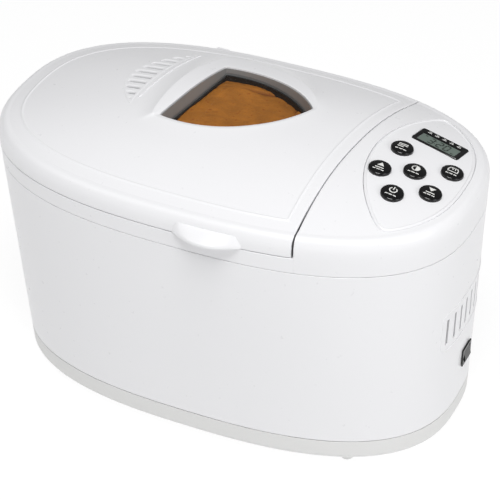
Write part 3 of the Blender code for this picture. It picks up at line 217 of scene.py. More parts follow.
def reach(centre, turn, inside):
    """Distance along each ray from a centre to the edge of a region, by halving the interval."""
    near = np.zeros(np.shape(turn))
    far = near + LENGTH + 70
    for _ in range(28):
        middle = (near + far) / 2
        held = inside(centre[0] + middle * np.cos(turn), centre[1] + middle * np.sin(turn))
        near = np.where(held, middle, near)
        far = np.where(held, far, middle)
    return near


def rounded(outline, radius, step=0.3):
    """A closed outline at even steps, its corners rounded by two running means as wide as the radius."""
    loop = np.vstack([outline, outline[:1]])
    run = np.concatenate([[0], np.cumsum(np.hypot(*np.diff(loop, axis=0).T))])
    even = np.linspace(0, run[-1], int(run[-1] / step), endpoint=False)
    points = np.stack([np.interp(even, run, loop[:, k]) for k in (0, 1)], 1)
    width = max(1, int(radius / step))
    kernel = np.ones(2 * width + 1) / (2 * width + 1)
    for _ in range(2):
        padded = np.vstack([points[-width:], points, points[:width]])
        points = np.stack([np.convolve(padded[:, k], kernel, "valid") for k in (0, 1)], 1)
    return points


def ray_radius(outline, centre, turn):
    """Radius of a star-shaped outline at each ray's turn, read between its points."""
    away = outline - np.array(centre)
    angle = np.arctan2(away[:, 1], away[:, 0]) % TAU
    order = np.argsort(angle)
    return np.interp(turn % TAU, angle[order], np.hypot(*away[order].T), period=TAU)


def drawn_in(radius, turn, distance):
    """A polar outline drawn in by a distance measured square to it: the ray's own cut is longer."""
    wide = np.concatenate([turn[-1:] - TAU, turn, turn[:1] + TAU])
    padded = np.concatenate([radius[-1:], radius, radius[:1]])
    slope = np.gradient(padded, wide)[1:-1] / radius
    return radius - distance * np.minimum(np.sqrt(1 + slope ** 2), 2.5)


def smooth(value):
    """0 below zero, 1 above one, and 3t^2 - 2t^3 between."""
    t = np.clip(value, 0, 1)
    return t * t * (3 - 2 * t)


def shoulder(steps):
    """Insets and rises of the rounded shoulder: a quarter of a superellipse."""
    a = np.linspace(0, np.pi / 2, steps)
    return (SHOULDER_INSET * (1 - np.cos(a) ** (2 / SHOULDER_POWER)),
            SHOULDER_RISE * np.sin(a) ** (2 / SHOULDER_POWER))


def window_outline():
    """Three corners joined by an arc along the front, one along the rear and a straight left side."""
    front_left, right, rear_left = WINDOW_CORNERS
    front = arc(front_left, WINDOW_FRONT_VIA, right, 80)
    rear = arc(right, WINDOW_REAR_VIA, rear_left, 80)
    return np.vstack([front[:-1], rear])


def bezel_outline():
    """The raised ridge's outline: wide at the left and the rear, thin along the front."""
    left = arc((-64.0, 100.0), (-75.5, 30.0), (-72.5, -31.5), 60)
    front = arc((-68.0, -33.0), (5.0, -25.0), (57.5, 39.0), 80)
    rear = arc((56.0, 43.0), (10.0, 91.5), (-54.0, 105.0), 80)
    return np.vstack([left, front, rear])


def crescent_x(middle, y):
    """X of the parabola through the vent's two tips and a side's middle point."""
    points = (VENT_FRONT, middle, VENT_REAR)
    total = 0
    for i, (x, own) in enumerate(points):
        first, second = [point[1] for j, point in enumerate(points) if j != i]
        total = total + x * (y - first) * (y - second) / ((own - first) * (own - second))
    return total


def vent_depth(x, y, margin):
    """How far inside the vent's crescent a point lies, 0 at a margin in from its edge."""
    across = np.minimum(x - crescent_x(VENT_LEFT, y), crescent_x(VENT_RIGHT, y) - x)
    along = np.minimum(y - VENT_FRONT[1], VENT_REAR[1] - y)
    return np.minimum(across, along) - margin


def panel_outline():
    """A leaf: its right edge follows the dome's edge, and its left edge is an arc."""
    breadth = 0.99 * (DEPTH / 2 - SHOULDER_INSET)
    y = np.linspace(-91.0, 100.0, 120)
    x = 0.99 * (LENGTH / 2 - SHOULDER_INSET) * (1 - (np.abs(y) / breadth) ** POWER) ** (1 / POWER)
    right = np.stack([x, y], 1)
    return np.vstack([right, arc(right[-1], (124.0, 13.5), right[0], 100)[1:-1]])


# ---- Meshes ----------------------------------------------------------------------------------------
def seat(x, y, turn=0.0):
    """Origin and axes of a seat on the dome: its third axis is the dome's normal."""
    slope_x = dome(x + 0.5, y) - dome(x - 0.5, y)
    slope_y = dome(x, y + 0.5) - dome(x, y - 0.5)
    normal = np.array([-slope_x, -slope_y, 1.0])
    normal /= np.linalg.norm(normal)
    along = np.cross([0.0, 1.0, 0.0], normal)
    along /= np.linalg.norm(along)
    across = np.cross(normal, along)
    c, s = np.cos(turn), np.sin(turn)
    axes = np.array([c * along + s * across, c * across - s * along, normal])
    return np.array([x, y, float(dome(x, y))]), axes


def placed(points, place):
    """Points given in a seat's own axes, moved into the frame."""
    origin, axes = place
    return np.asarray(points) @ axes + origin


def ring(centre, turn, radius, height):
    """Points at a radius along each ray from a centre; height is a value or a function of x and y."""
    x, y = centre[0] + radius * np.cos(turn), centre[1] + radius * np.sin(turn)
    return np.stack([x, y, (height(x, y) if callable(height) else height) + 0 * x], 1)


def sheet_quads(rows, columns, close_rows, close_columns, offset=0):
    """Corner numbers of the quads of a grid of points stored row by row."""
    index = np.arange(rows * columns).reshape(rows, columns) + offset
    if close_rows:
        index = np.vstack([index, index[:1]])
    if close_columns:
        index = np.hstack([index, index[:, :1]])
    return np.stack([index[:-1, :-1], index[:-1, 1:], index[1:, 1:], index[1:, :-1]], -1).reshape(-1, 4)


def piece(name, points, faces, material, angle=32.0, shade=None):
    """One closed mesh from points in millimetres: doubles merged, faces turned outwards."""
    mesh = bpy.data.meshes.new(name)
    mesh.from_pydata(np.asarray(points, float).reshape(-1, 3) * METRE, [], [list(f) for f in faces])
    # shade is painted shade, kept on the mesh as its hollow attribute.
    if shade is not None:
        mesh.attributes.new("hollow", "FLOAT", "POINT").data.foreach_set("value", np.ravel(shade))
    bm = bmesh.new()
    bm.from_mesh(mesh)
    bmesh.ops.remove_doubles(bm, verts=bm.verts, dist=2e-6)
    bmesh.ops.dissolve_degenerate(bm, edges=bm.edges, dist=1e-7)
    bmesh.ops.recalc_face_normals(bm, faces=bm.faces)
    bm.to_mesh(mesh)
    bm.free()
    mesh.validate()
    mesh.shade_smooth()
    mesh.set_sharp_from_angle(angle=np.radians(angle))
    mesh.materials.append(material)
    made = bpy.data.objects.new(name, mesh)
    bpy.context.scene.collection.objects.link(made)
    return made


def surface(name, grid, material, close_rows=False, angle=32.0, shade=None):
    """A piece from a (rows, columns, 3) grid whose columns close; open ends are capped."""
    rows, columns = grid.shape[:2]
    faces = sheet_quads(rows, columns, close_rows, True).tolist()
    if not close_rows:
        faces.append(list(range(columns)))
        faces.append(list(range((rows - 1) * columns, rows * columns)))
    return piece(name, grid, faces, material, angle, shade)


def turned_grid(profile, steps=64):
    """Circles about the third axis, one row for each (radius, height)."""
    radius, height = np.array(profile, float).T[:, :, None]
    a = np.linspace(0, TAU, steps, endpoint=False)[None, :]
    return np.stack([radius * np.cos(a), radius * np.sin(a), height + 0 * a], -1)


def loops_grid(loops):
    """Rows of equal length, each a plan loop with its own height."""
    return np.stack([np.column_stack([loop, np.full(len(loop), float(z))]) for loop, z in loops])


def rounded_box_loop(half_x, half_y, radius, steps=8, x=0.0, y=0.0):
    """A plan loop with quarter-circle corners."""
    a = np.linspace(0, np.pi / 2, steps)
    loop = []
    for turn, (sx, sy) in enumerate(((1, 1), (-1, 1), (-1, -1), (1, -1))):
        b = a + turn * np.pi / 2
        loop.append(np.stack([x + sx * (half_x - radius) + radius * np.cos(b),
                              y + sy * (half_y - radius) + radius * np.sin(b)], 1))
    return np.vstack(loop)


def strokes(name, runs, material, height, lay):
    """Raised lines of one piece: each run is a path of (x, y) with a width at every point.

    A stroke's section is a flat bar whose top edges lean in; lay maps (x, y, height) to the frame.
    """
    points, faces, start = [], [], 0
    for path, width in runs:
        path = np.asarray(path, float)
        width = np.broadcast_to(np.asarray(width, float), len(path))
        along = np.gradient(path, axis=0)
        along /= np.maximum(np.hypot(*along.T), 1e-9)[:, None]
        side = np.stack([-along[:, 1], along[:, 0]], 1)
        rows = []
        for share, rise in ((-0.5, -0.4), (-0.5, 0.55), (-0.36, 1.0), (0.36, 1.0), (0.5, 0.55), (0.5, -0.4)):
            plan = path + side * (share * width)[:, None]
            rows.append(lay(plan[:, 0], plan[:, 1], rise * height))
        grid = np.stack(rows, 1)
        count, columns = grid.shape[:2]
        points.append(grid.reshape(-1, 3))
        faces += sheet_quads(count, columns, False, True, start).tolist()
        faces.append(list(range(start, start + columns)))
        faces.append(list(range(start + (count - 1) * columns, start + count * columns)))
        start += count * columns
    return piece(name, np.vstack(points), faces, material)


# ---- Materials -------------------------------------------------------------------------------------
def linear(hexed):
    """An sRGB hex colour as linear red, green, blue and alpha."""
    srgb = np.array([int(hexed[i:i + 2], 16) for i in (1, 3, 5)]) / 255
    low = srgb / 12.92
    high = ((srgb + 0.055) / 1.055) ** 2.4
    return (*np.where(srgb <= 0.04045, low, high).tolist(), 1.0)


def add_node(tree, kind, inputs=None, **settings):
    """One node with its settings; an input is a plain value, or another node's output to link."""
    made = tree.nodes.new(kind)
    for name, value in settings.items():
        setattr(made, name, value)
    for name, value in (inputs or {}).items():
        if isinstance(value, bpy.types.NodeSocket):
            tree.links.new(value, made.inputs[name])
        else:
            made.inputs[name].default_value = value
    return made


def finish(name, colour, roughness, grain, bump, tone, patch, stretch=(1, 1, 1), metallic=0.0,
           speckle=None, hollow=None, **constants):
    """A surface whose tone drifts over patches and whose grain roughens and dents it.

    grain, patch and bump are real sizes in millimetres: of the grain, of the patches and of the
    grain's depth.  tone is how much darker a patch is at most, speckle the colour of the grain's
    peaks, and hollow the colour of painted shade, mixed in as far as the mesh's own hollow attribute goes.
    """
    if name in bpy.data.materials:
        return bpy.data.materials[name]
    material = bpy.data.materials.new(name)
    material.use_nodes = True
    tree = material.node_tree
    shader = tree.nodes["Principled BSDF"]
    shader.inputs["Metallic"].default_value = metallic
    for key, value in constants.items():
        shader.inputs[key.replace("_", " ")].default_value = value
    place = add_node(tree, "ShaderNodeTexCoord").outputs["Object"]
    scaled = add_node(tree, "ShaderNodeMapping", {"Vector": place, "Scale": stretch}).outputs["Vector"]
    drift = add_node(tree, "ShaderNodeTexNoise", {"Vector": place, "Scale": 1000 / patch, "Detail": 2.0})
    base = np.array(linear(colour))
    darker = (*(base[:3] * (1 - tone)).tolist(), 1.0)
    tint = add_node(tree, "ShaderNodeMix", {"Factor": drift.outputs["Fac"]}, data_type="RGBA")
    tint.inputs["A"].default_value = darker
    tint.inputs["B"].default_value = tuple(base)
    shown = tint.outputs["Result"]
    fine = add_node(tree, "ShaderNodeTexNoise", {"Vector": scaled, "Scale": 1000 / grain, "Detail": 3.0})
    if speckle:
        dots = add_node(tree, "ShaderNodeMapRange", {"Value": fine.outputs["Fac"], "From Min": 0.62,
                                                     "From Max": 0.7})
        mixed = add_node(tree, "ShaderNodeMix", {"Factor": dots.outputs["Result"]}, data_type="RGBA")
        tree.links.new(shown, mixed.inputs["A"])
        mixed.inputs["B"].default_value = linear(speckle)
        shown = mixed.outputs["Result"]
    # Painted shade: the hollow colour, mixed in as far as the mesh's hollow attribute goes.
    if hollow:
        depth = add_node(tree, "ShaderNodeAttribute", attribute_name="hollow")
        mixed = add_node(tree, "ShaderNodeMix", {"Factor": depth.outputs["Fac"]}, data_type="RGBA")
        tree.links.new(shown, mixed.inputs["A"])
        mixed.inputs["B"].default_value = linear(hollow)
        shown = mixed.outputs["Result"]
    tree.links.new(shown, shader.inputs["Base Color"])
    rough = add_node(tree, "ShaderNodeMapRange", {"Value": fine.outputs["Fac"], "To Min": roughness * 0.8,
                                                  "To Max": roughness * 1.2})
    tree.links.new(rough.outputs["Result"], shader.inputs["Roughness"])
    dent = add_node(tree, "ShaderNodeBump", {"Height": fine.outputs["Fac"], "Strength": 1.0,
                                             "Distance": bump * METRE})
    tree.links.new(dent.outputs["Normal"], shader.inputs["Normal"])
    return material


def finishes():
    """Every material by slot, with what each real finish gives the eye."""
    c = bpy.context.scene.bread_machine_colours
    made = {}
    # Injection-moulded ABS from a polished mould: even white, soft gloss, faint long waves; painted shade,
    # #4E5052, in the louvres' drops and inside the parting gap.
    made["white_abs"] = finish("abs_moulded_gloss", c.housing, roughness=0.3, grain=5.0, bump=0.006,
                               tone=0.015, patch=90.0, hollow="#4E5052", IOR=1.53)
    # Injection-moulded ABS from a spark-eroded mould: slightly warmer and duller.
    made["base_abs"] = finish("abs_moulded_satin", c.base, roughness=0.42, grain=1.2, bump=0.01, tone=0.03,
                              patch=60.0, IOR=1.53)
    # Grey ABS frame, satin.
    made["grey_frame"] = finish("abs_grey_satin", c.frame, roughness=0.4, grain=1.0, bump=0.01, tone=0.06,
                                patch=40.0, IOR=1.53)
    # Polished black acrylic-faced ABS: sharp reflections.
    made["black_gloss"] = finish("abs_black_polished", c.gloss_black, roughness=0.16, grain=6.0, bump=0.004,
                                 tone=0.1, patch=30.0, IOR=1.5)
    # White pad-printed ink, matt.
    made["legend"] = finish("ink_pad_printed", c.legend, roughness=0.5, grain=0.5, bump=0.002, tone=0.05,
                            patch=10.0)
    # Liquid crystal film behind clear acrylic: grey-green and smooth.
    made["display"] = finish("lcd_film", c.screen, roughness=0.3, grain=0.6, bump=0.001, tone=0.08,
                             patch=14.0, IOR=1.49)
    # The same film where the liquid crystal is switched dark.
    made["segment"] = finish("lcd_segment", c.segment, roughness=0.3, grain=0.6, bump=0.001, tone=0.05,
                             patch=10.0)
    # Tempered glass pane: clear, with a faint grey film, seen by its reflections.
    made["window_glass"] = finish("glass_tempered", "#1B1D1D", roughness=0.03, grain=40.0, bump=0.001,
                                  tone=0.02, patch=80.0, IOR=1.52, Alpha=0.14)
    # Aluminised steel sheet, rolled along its length: soft streaked reflections.
    made["chamber_steel"] = finish("steel_rolled_sheet", c.steel, roughness=0.34, grain=1.6, bump=0.004,
                                   tone=0.08, patch=50.0, stretch=(0.05, 1, 1), metallic=1.0)
    # Bright drawn steel wire.
    made["wire_steel"] = finish("steel_drawn_wire", "#C9CACB", roughness=0.22, grain=0.8, bump=0.002,
                                tone=0.05, patch=30.0, stretch=(1, 1, 0.1), metallic=1.0)
    # Sprayed non-stick coating: dark, satin, with fine light flecks.
    made["pan_coating"] = finish("ptfe_sprayed", c.coating, roughness=0.45, grain=0.9, bump=0.01, tone=0.08,
                                 patch=30.0, speckle="#77777A")
    # Moulded rubber: matt, with a fine dusty grain.
    made["rubber"] = finish("rubber_moulded", c.rubber, roughness=0.75, grain=0.7, bump=0.02, tone=0.15,
                            patch=20.0)
    # Glass-fibre board under green solder mask: slightly glossy weave.
    made["board"] = finish("fibreglass_solder_mask", c.board, roughness=0.35, grain=1.1, bump=0.01,
                           tone=0.15, patch=12.0, speckle="#B9B27A")
    # Sintered brass: dull with pores.
    made["brass"] = finish("brass_sintered", c.brass, roughness=0.35, grain=0.8, bump=0.006, tone=0.1,
                           patch=15.0, metallic=1.0)
    # Moulded acetal: waxy grey.
    made["drive_plastic"] = finish("acetal_moulded", c.plastic, roughness=0.4, grain=1.5, bump=0.006,
                                   tone=0.06, patch=25.0)
    # Baked crust: brown with darker blisters and a dry bloom of flour; painted shade, #7A3C12, down its
    # cracks.
    made["crust"] = finish("bread_crust_baked", c.crust, roughness=0.7, grain=3.5, bump=0.7, tone=0.5,
                           patch=14.0, speckle="#B4621A", hollow="#7A3C12")
    return made


def dress(made, slot, body, *nodes):
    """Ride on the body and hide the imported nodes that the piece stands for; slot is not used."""
    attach(made, body)
    if nodes:
        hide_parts(*nodes)


# ---- Lid and top cover -----------------------------------------------------------------------------
WINDOW_ZONES = ((-20, 30, 0.5), (115, 135, 0.5), (225, 245, 0.5))   # closer rays at the window's corners


def rays(count, *zones):
    """Even turns all round, with closer ones between each zone's two angles, in degrees."""
    turns = [np.linspace(0, 360, count, endpoint=False)]
    turns += [np.arange(low, high, step) % 360 for low, high, step in zones]
    turns = np.unique(np.round(np.concatenate(turns), 3))
    return np.radians(turns[np.append(np.diff(turns) > 0.02, True)])


def cap_grid(centre, turn, side, low, beads, steps, hole_rows, relief, wall, edge):
    """Rows of a domed cap with a hole, as a closed wall.

    They run up the straight edge, round the shoulder, over the dome to the hole, and back along
    the inner face.  side gives how far a point is on the cap's own side of the parting line, beads
    the (inset, rise) pairs that follow the cap's edge, and relief what is added to the dome.
    """
    cos, sin = np.cos(turn), np.sin(turn)
    rows = []

    def plan(z, inset, apart):
        return reach(centre, turn, lambda x, y: (oval_share(x, y, z, inset) < 1) & (side(x, y) > apart))

    def add(radius, height, lift=0.0):
        x, y = centre[0] + radius * cos, centre[1] + radius * sin
        z = height(x, y, radius) if callable(height) else height
        rows.append(np.stack([x, y, z + lift + 0 * x], 1))

    def top(x, y, radius):
        return dome(x, y) + relief(x, y, radius)

    insets, rises = shoulder(13)
    add(plan(low, 0.5, 0.4), low)
    for z in np.linspace(low + 0.5, RIM, 4):
        add(plan(z, 0.0, 0.0), z)
    for inset, rise in zip(insets[1:], rises[1:]):
        add(plan(RIM, inset, 0.0), RIM + rise)
    for apart, down in ((0.0, edge), (0.1 * edge, 0.55 * edge), (0.35 * edge, 0.2 * edge), (edge, 0.0)):
        radius = plan(RIM, SHOULDER_INSET + apart, apart)
        x, y = centre[0] + radius * cos, centre[1] + radius * sin
        on_line = smooth((1 - oval_share(x, y, RIM, SHOULDER_INSET)) / 0.03)
        add(radius, top, -down * on_line)
    for apart, rise in beads:
        radius = plan(RIM, SHOULDER_INSET + apart, apart)
        add(radius, top, rise)
    start = radius
    hole = hole_rows[0][0]
    between = []
    for u in np.linspace(0, 1, steps)[1:-1]:
        between.append(start + (hole - start) * (1 - (1 - u) ** 1.5))
        add(between[-1], top)
    for radius, height in hole_rows:
        add(radius, height)

    def under(x, y, radius):
        return dome(x, y) - wall + np.minimum(relief(x, y, radius), 0)

    add(hole_rows[-1][0], under)
    for radius in between[::-3]:
        add(radius, under)
    add(plan(RIM, SHOULDER_INSET + wall, wall), lambda x, y, radius: dome(x, y) - wall)
    for inset, rise in zip(insets[::-3], rises[::-3]):
        add(plan(RIM, inset + wall, wall), RIM - 0.6 * wall + rise)
    add(plan(low, wall, wall), low)
    return np.stack(rows)


def bead_rows(rise):
    """A bead 10 to 12 mm inside the cap's edge, as (inset, rise) pairs."""
    apart = np.array([3.0, 6.0, 8.6, 9.3, 9.9, 10.4, 10.9, 11.4, 11.9, 12.5, 13.2, 15.0])
    return list(zip(apart, rise * np.exp(-((apart - 10.9) / 0.9) ** 4)))


def lid_side(x, y):
    """How far a point lies on the lid's side of the gap, which opens a little towards the front."""
    return parting_x(y) - x - 0.25 - 0.5 * smooth((-60 - y) / 50)


def hood_side(x, y):
    """How far a point lies on the console's side of the gap."""
    return x - parting_x(y) - SEAM - 0.15


def gap_shade(grid, side):
    """Painted shade on the faces inside the parting gap: below their rounded top edge, down to the seam."""
    x, y, z = np.moveaxis(grid, -1, 0)
    inside = smooth((0.3 - side(x, y)) / 0.2) * smooth((dome(x, y) - z - 0.9) / 1.2)
    return 0.8 * inside * smooth((z - LID_SEAM + 3) / 3)


def make_lid(kit, sizes):
    """The lid's moulded shell, with its window ridge and the hollow that holds the steam louvres."""
    turn = rays(400, (-53, -47, 0.12), (30, 37, 0.12), *WINDOW_ZONES)
    window = ray_radius(rounded(window_outline(), 2.0), LID_CENTRE, turn)
    bezel = ray_radius(rounded(bezel_outline(), 3.5), LID_CENTRE, turn)
    bezel = np.maximum(bezel, window + 1.6)
    rise = sizes.bezel / METRE * (0.3 + 0.7 * smooth((bezel - window - 3) / 7))
    spread = sizes.bezel_spread / METRE

    def relief(x, y, radius):
        """A hollow slope up to the ridge, (1 - s / spread)^2.4, and a sunk bed under the louvres."""
        slope = np.clip(1 - (radius - bezel) / spread, 0, 1) ** 2.4
        return rise * slope - VENT_BED * smooth(vent_depth(x, y, 0.6) / 3.0)

    hole = [(bezel, lambda x, y, r: dome(x, y) + rise)]
    for share in (0.06, 0.2, 0.4, 0.6, 0.8, 0.93):
        radius = bezel + (window - bezel) * share
        hole.append((radius, lambda x, y, r, s=share: dome(x, y) + rise * (1 - 0.94 * s)))
    hole.append((window, lambda x, y, r: dome(x, y) - 0.1))
    hole.append((window - 0.1, lambda x, y, r: dome(x, y) - 0.9))
    grid = cap_grid(LID_CENTRE, turn, lid_side, LID_SEAM + SEAM / 2, bead_rows(sizes.bead / METRE), 66,
                    hole, relief, sizes.wall / METRE, sizes.edge / METRE)
    made = surface("lid_top", grid, kit["white_abs"], True, 40, gap_shade(grid, lid_side))
    dress(made, "white_abs", "lid", "lid_shell")


def make_grip(kit):
    """The lip at the front of the lid: a section that swells from the wall as (1 - u^2)^1.05.

    Each corner of the section has its share of the swell, how far it is sunk in the wall, and its
    height, which halves towards the grip's two ends.
    """
    section = np.array([(0, 2.2, 244.0), (0, 0.3, 243.8), (0.25, 0, 241.9), (0.6, 0, 239.3), (0.85, 0, 237.4),
                        (0.97, 0, 236.2), (1, 0, 234.8), (0.985, 0, 233.6), (0.93, 0, 232.8),
                        (0.82, 0, 232.4), (0.3, 0, 232.3), (0, 2.2, 232.3)])
    share, sunk, z = section.T[:, None, :]
    low = LID_SEAM + SEAM / 2
    u = np.linspace(-1, 1, 49)[:, None]
    x = GRIP_X + GRIP_HALF * u
    wall = -(DEPTH / 2) * (1 - (np.abs(x) / (LENGTH / 2)) ** POWER) ** (1 / POWER)
    out = GRIP_OUT * (1 - u ** 2) ** 1.05
    z = low + (z - low) * (0.5 + 0.5 * smooth(out / 4))
    grid = np.stack([x + 0 * share, wall - out * share + sunk, z + 0 * x], -1)
    dress(surface("lid_grip", grid, kit["white_abs"]), "white_abs", "lid")


def make_louvres(kit, sizes):
    """The steam vent: a crescent with eleven louvres, and a raised line beside it.

    Each louvre drops over the first 0.06 of its pitch, slopes back up over the next half and then
    stays level.
    """
    y = np.linspace(VENT_FRONT[1] - 0.5, VENT_REAR[1] + 0.5, 460)[:, None]
    u = np.array([0, 0.02, 0.06, 0.12, 0.25, 0.4, 0.55, 0.7, 0.82, 0.9, 0.95, 0.98, 1])[None, :]
    left, right = crescent_x(VENT_LEFT, y) - 1.2, crescent_x(VENT_RIGHT, y) + 1.2
    x = left + np.maximum(right - left, 0.05) * u
    pitch = (VENT_REAR[1] - VENT_FRONT[1]) / LOUVRES
    phase = ((y - VENT_FRONT[1]) / pitch - 0.35) % 1.0
    drop = np.where(phase < 0.06, phase / 0.06, np.clip(1 - (phase - 0.06) / 0.5, 0, 1))
    drop = drop * sizes.louvre_depth / METRE * smooth(vent_depth(x, y, 1.4) / 2.2)
    rim = np.minimum(u * (right - left), (1 - u) * (right - left))
    lift = 0.25 - 0.5 * np.exp(-(rim / 0.25) ** 2)
    top = np.stack([x, y + 0 * x, dome(x, y) + lift - drop], -1)
    low = top[:, ::-1] - np.array([0.0, 0.0, 1.0])
    # Painted shade in each louvre's drop, darkest where it falls furthest; none on the underside.
    shade = 0.9 * smooth(np.concatenate([drop, 0 * drop], 1) / 2.88)
    vent = surface("lid_louvres", np.concatenate([top, low], 1), kit["white_abs"], angle=24, shade=shade)
    dress(vent, "white_abs", "lid")
    y = np.linspace(-8, 96, 60)
    x = crescent_x((-98.5, 28.0), y) + 3.2
    line = strokes("vent_line", [(np.stack([x, y], 1), 1.5)], kit["white_abs"], 0.6,
                   lambda x, y, h: np.stack([x, y, dome(x, y) + h], 1))
    dress(line, "white_abs", "lid")


def make_window(kit):
    """The window's inner walls as a sleeve in the opening, its dark seal and its pane.

    Each is the window's outline drawn in by an inset, one row for each (inset, height).
    """
    turn = rays(300, *WINDOW_ZONES)
    window = ray_radius(rounded(window_outline(), 2.0), LID_CENTRE, turn)

    def sleeve(rows):
        return np.stack([ring(LID_CENTRE, turn, drawn_in(window, turn, inset), z) for inset, z in rows])

    def under_dome(x, y):
        return dome(x, y) - 1.3

    walls = sleeve(((0.7, 240.0), (0.7, under_dome), (1.2, under_dome), (2.7, 240.0)))
    dress(surface("window_walls", walls, kit["grey_frame"], close_rows=True), "grey_frame", "lid",
          "window_frame")
    seal = sleeve(((2.75, 240.2), (2.75, GLASS_Z - 0.2), (4.2, GLASS_Z - 0.2), (3.4, GLASS_Z - 2.0),
                   (3.4, 240.2)))
    dress(surface("window_seal", seal, kit["rubber"], close_rows=True), "rubber", "lid")
    pane = sleeve(((3.6, GLASS_Z), (3.1, GLASS_Z + 0.3), (3.1, GLASS_Z + 2.7), (3.6, GLASS_Z + 3.0)))
    dress(surface("window_pane", pane, kit["window_glass"]), "window_glass", "lid", "window_glass")


def make_cover(kit, sizes):
    """The top cover: a band and deck round the chamber, and the console's hood over its right end."""
    centre, turn = (CHAMBER_X, 0.0), rays(300)
    chamber = ray_radius(rounded_box_loop(*CHAMBER_HALF, CHAMBER_CORNER, 40, CHAMBER_X), centre, turn)
    low, deck = COVER_LOW[2] - 0.3, LID_SEAM - SEAM / 2

    def wall(z, inset):
        """The oval wall's radius, sunk a little behind the hood from the parting gap on."""
        radius = reach(centre, turn, lambda x, y: oval_share(x, y, z, inset) < 1)
        x, y = centre[0] + radius * np.cos(turn), centre[1] + radius * np.sin(turn)
        return radius - 0.8 * smooth((x - parting_x(y) - 1.0) / 2.0)

    outside = ((low - 0.2, WALL), (low - 0.2, 0.9), (low, 0.8), (low, 0.4), (low + 0.4, 0),
               ((low + deck) / 2, 0), (deck - 0.5, 0), (deck, 0.5))
    rows = [(wall(z, inset), z) for z, inset in outside]
    rows += [(chamber + 0.5, deck), (chamber, deck - 0.5), (chamber, deck - WALL),
             (wall(deck - WALL, WALL), deck - WALL)]
    grid = np.stack([ring(centre, turn, radius, z) for radius, z in rows])
    dress(surface("cover_deck", grid, kit["white_abs"], close_rows=True), "white_abs", "housing",
          "top_cover")
    turn = rays(320, (-118, -111, 0.12), (106, 113, 0.12), (-92, -74, 0.4), (82, 96, 0.4))
    panel = ray_radius(rounded(panel_outline(), 9.0), HOOD_CENTRE, turn)
    hole = [(panel + 0.4, lambda x, y, r: dome(x, y)), (panel, lambda x, y, r: dome(x, y) - 0.4)]
    grid = cap_grid(HOOD_CENTRE, turn, hood_side, low, [(1.8, 0.0)], 24, hole, lambda x, y, r: 0.0 * x,
                    WALL, sizes.edge / METRE)
    made = surface("console_hood", grid, kit["white_abs"], True, 40, gap_shade(grid, hood_side))
    dress(made, "white_abs", "housing")


def make_panel(kit, sizes):
    """The leaf-shaped panel: the dome's own surface, with a bead just inside its edge."""
    turn = rays(300, (-92, -74, 0.4), (82, 98, 0.4))
    edge = drawn_in(ray_radius(rounded(panel_outline(), 9.0), PANEL_CENTRE, turn), turn, 0.35)
    rows = [(edge * share, 0.0) for share in np.linspace(0, 0.86, 20)]
    for apart in (4.4, 3.4, 2.9, 2.5, 2.1, 1.7, 1.3, 0.9, 0.5, 0.25):
        bead = sizes.panel_bead / METRE * np.exp(-((apart - 1.7) / 0.8) ** 4)
        rows.append((drawn_in(edge, turn, apart), bead))
    rows += [(edge, -0.3), (edge, -2.5), (edge * 0, -2.5)]
    grid = np.stack([ring(PANEL_CENTRE, turn, radius, lambda x, y, up=lift: dome(x, y) + up)
                     for radius, lift in rows])
    dress(surface("console_panel", grid, kit["white_abs"], angle=40), "white_abs", "housing",
          "control_panel")


# ---- Buttons and display ---------------------------------------------------------------------------
BUTTON_PROFILE = ((0, -5), (BUTTON_RADIUS, -5), (BUTTON_RADIUS, 1.7), (10.05, 2.2), (9.7, 2.6), (9.1, 2.9),
                  (8.0, 3.15), (6.2, 3.4), (4.0, 3.6), (2.0, 3.73), (0, 3.78))
BUTTONS_AT, BUTTONS_TURN = (167, -13.5), -8.0
COLUMN_PITCH, ROW_PITCH, COLUMN_STAGGER = 25.0, 39.0, 22.0
SCREEN_AT, SCREEN_TURN = (171.0, 50.0), -10.0
SCREEN_DROP = -2.5              # of the screen's middle below the bezel's


def button_seats():
    """Seats of the six buttons: three slanting columns, the middle one lower."""
    cos, sin = np.cos(np.radians(BUTTONS_TURN)), np.sin(np.radians(BUTTONS_TURN))
    columns = ("menu", "time_up"), ("crust", "start_stop"), ("loaf_size", "time_down")
    seats = {}
    for column, names in enumerate(columns):
        for row, name in enumerate(names):
            u = (column - 1) * COLUMN_PITCH
            v = ROW_PITCH * (0.5 - row) + COLUMN_STAGGER * (-0.5 if column == 1 else 0.5)
            seats[name] = (BUTTONS_AT[0] + u * cos - v * sin, BUTTONS_AT[1] + u * sin + v * cos)
    return seats


def ring_path(radius, x=0.0, y=0.0, first=0, last=360):
    """Points round a circle from one turn to another, in degrees."""
    a = np.radians(np.linspace(first, last, 33))
    return np.stack([x + radius * np.cos(a), y + radius * np.sin(a)], 1)


def line_path(*points):
    """Eight even steps from each point to the next."""
    points = np.array(points, float)
    run = np.linspace(0, len(points) - 1, 8 * (len(points) - 1) + 1)
    return np.stack([np.interp(run, np.arange(len(points)), points[:, k]) for k in (0, 1)], 1)


def wedge(tip, foot, width):
    """A filled triangle: a stroke whose width grows evenly from its tip."""
    path = line_path(tip, foot)
    return path, np.linspace(0.05, width, len(path))


def caption(y, *spans):
    """A row of short bars that stands where a word is printed."""
    return [(line_path((a, y), (b, y)), 1.0) for a, b in spans]


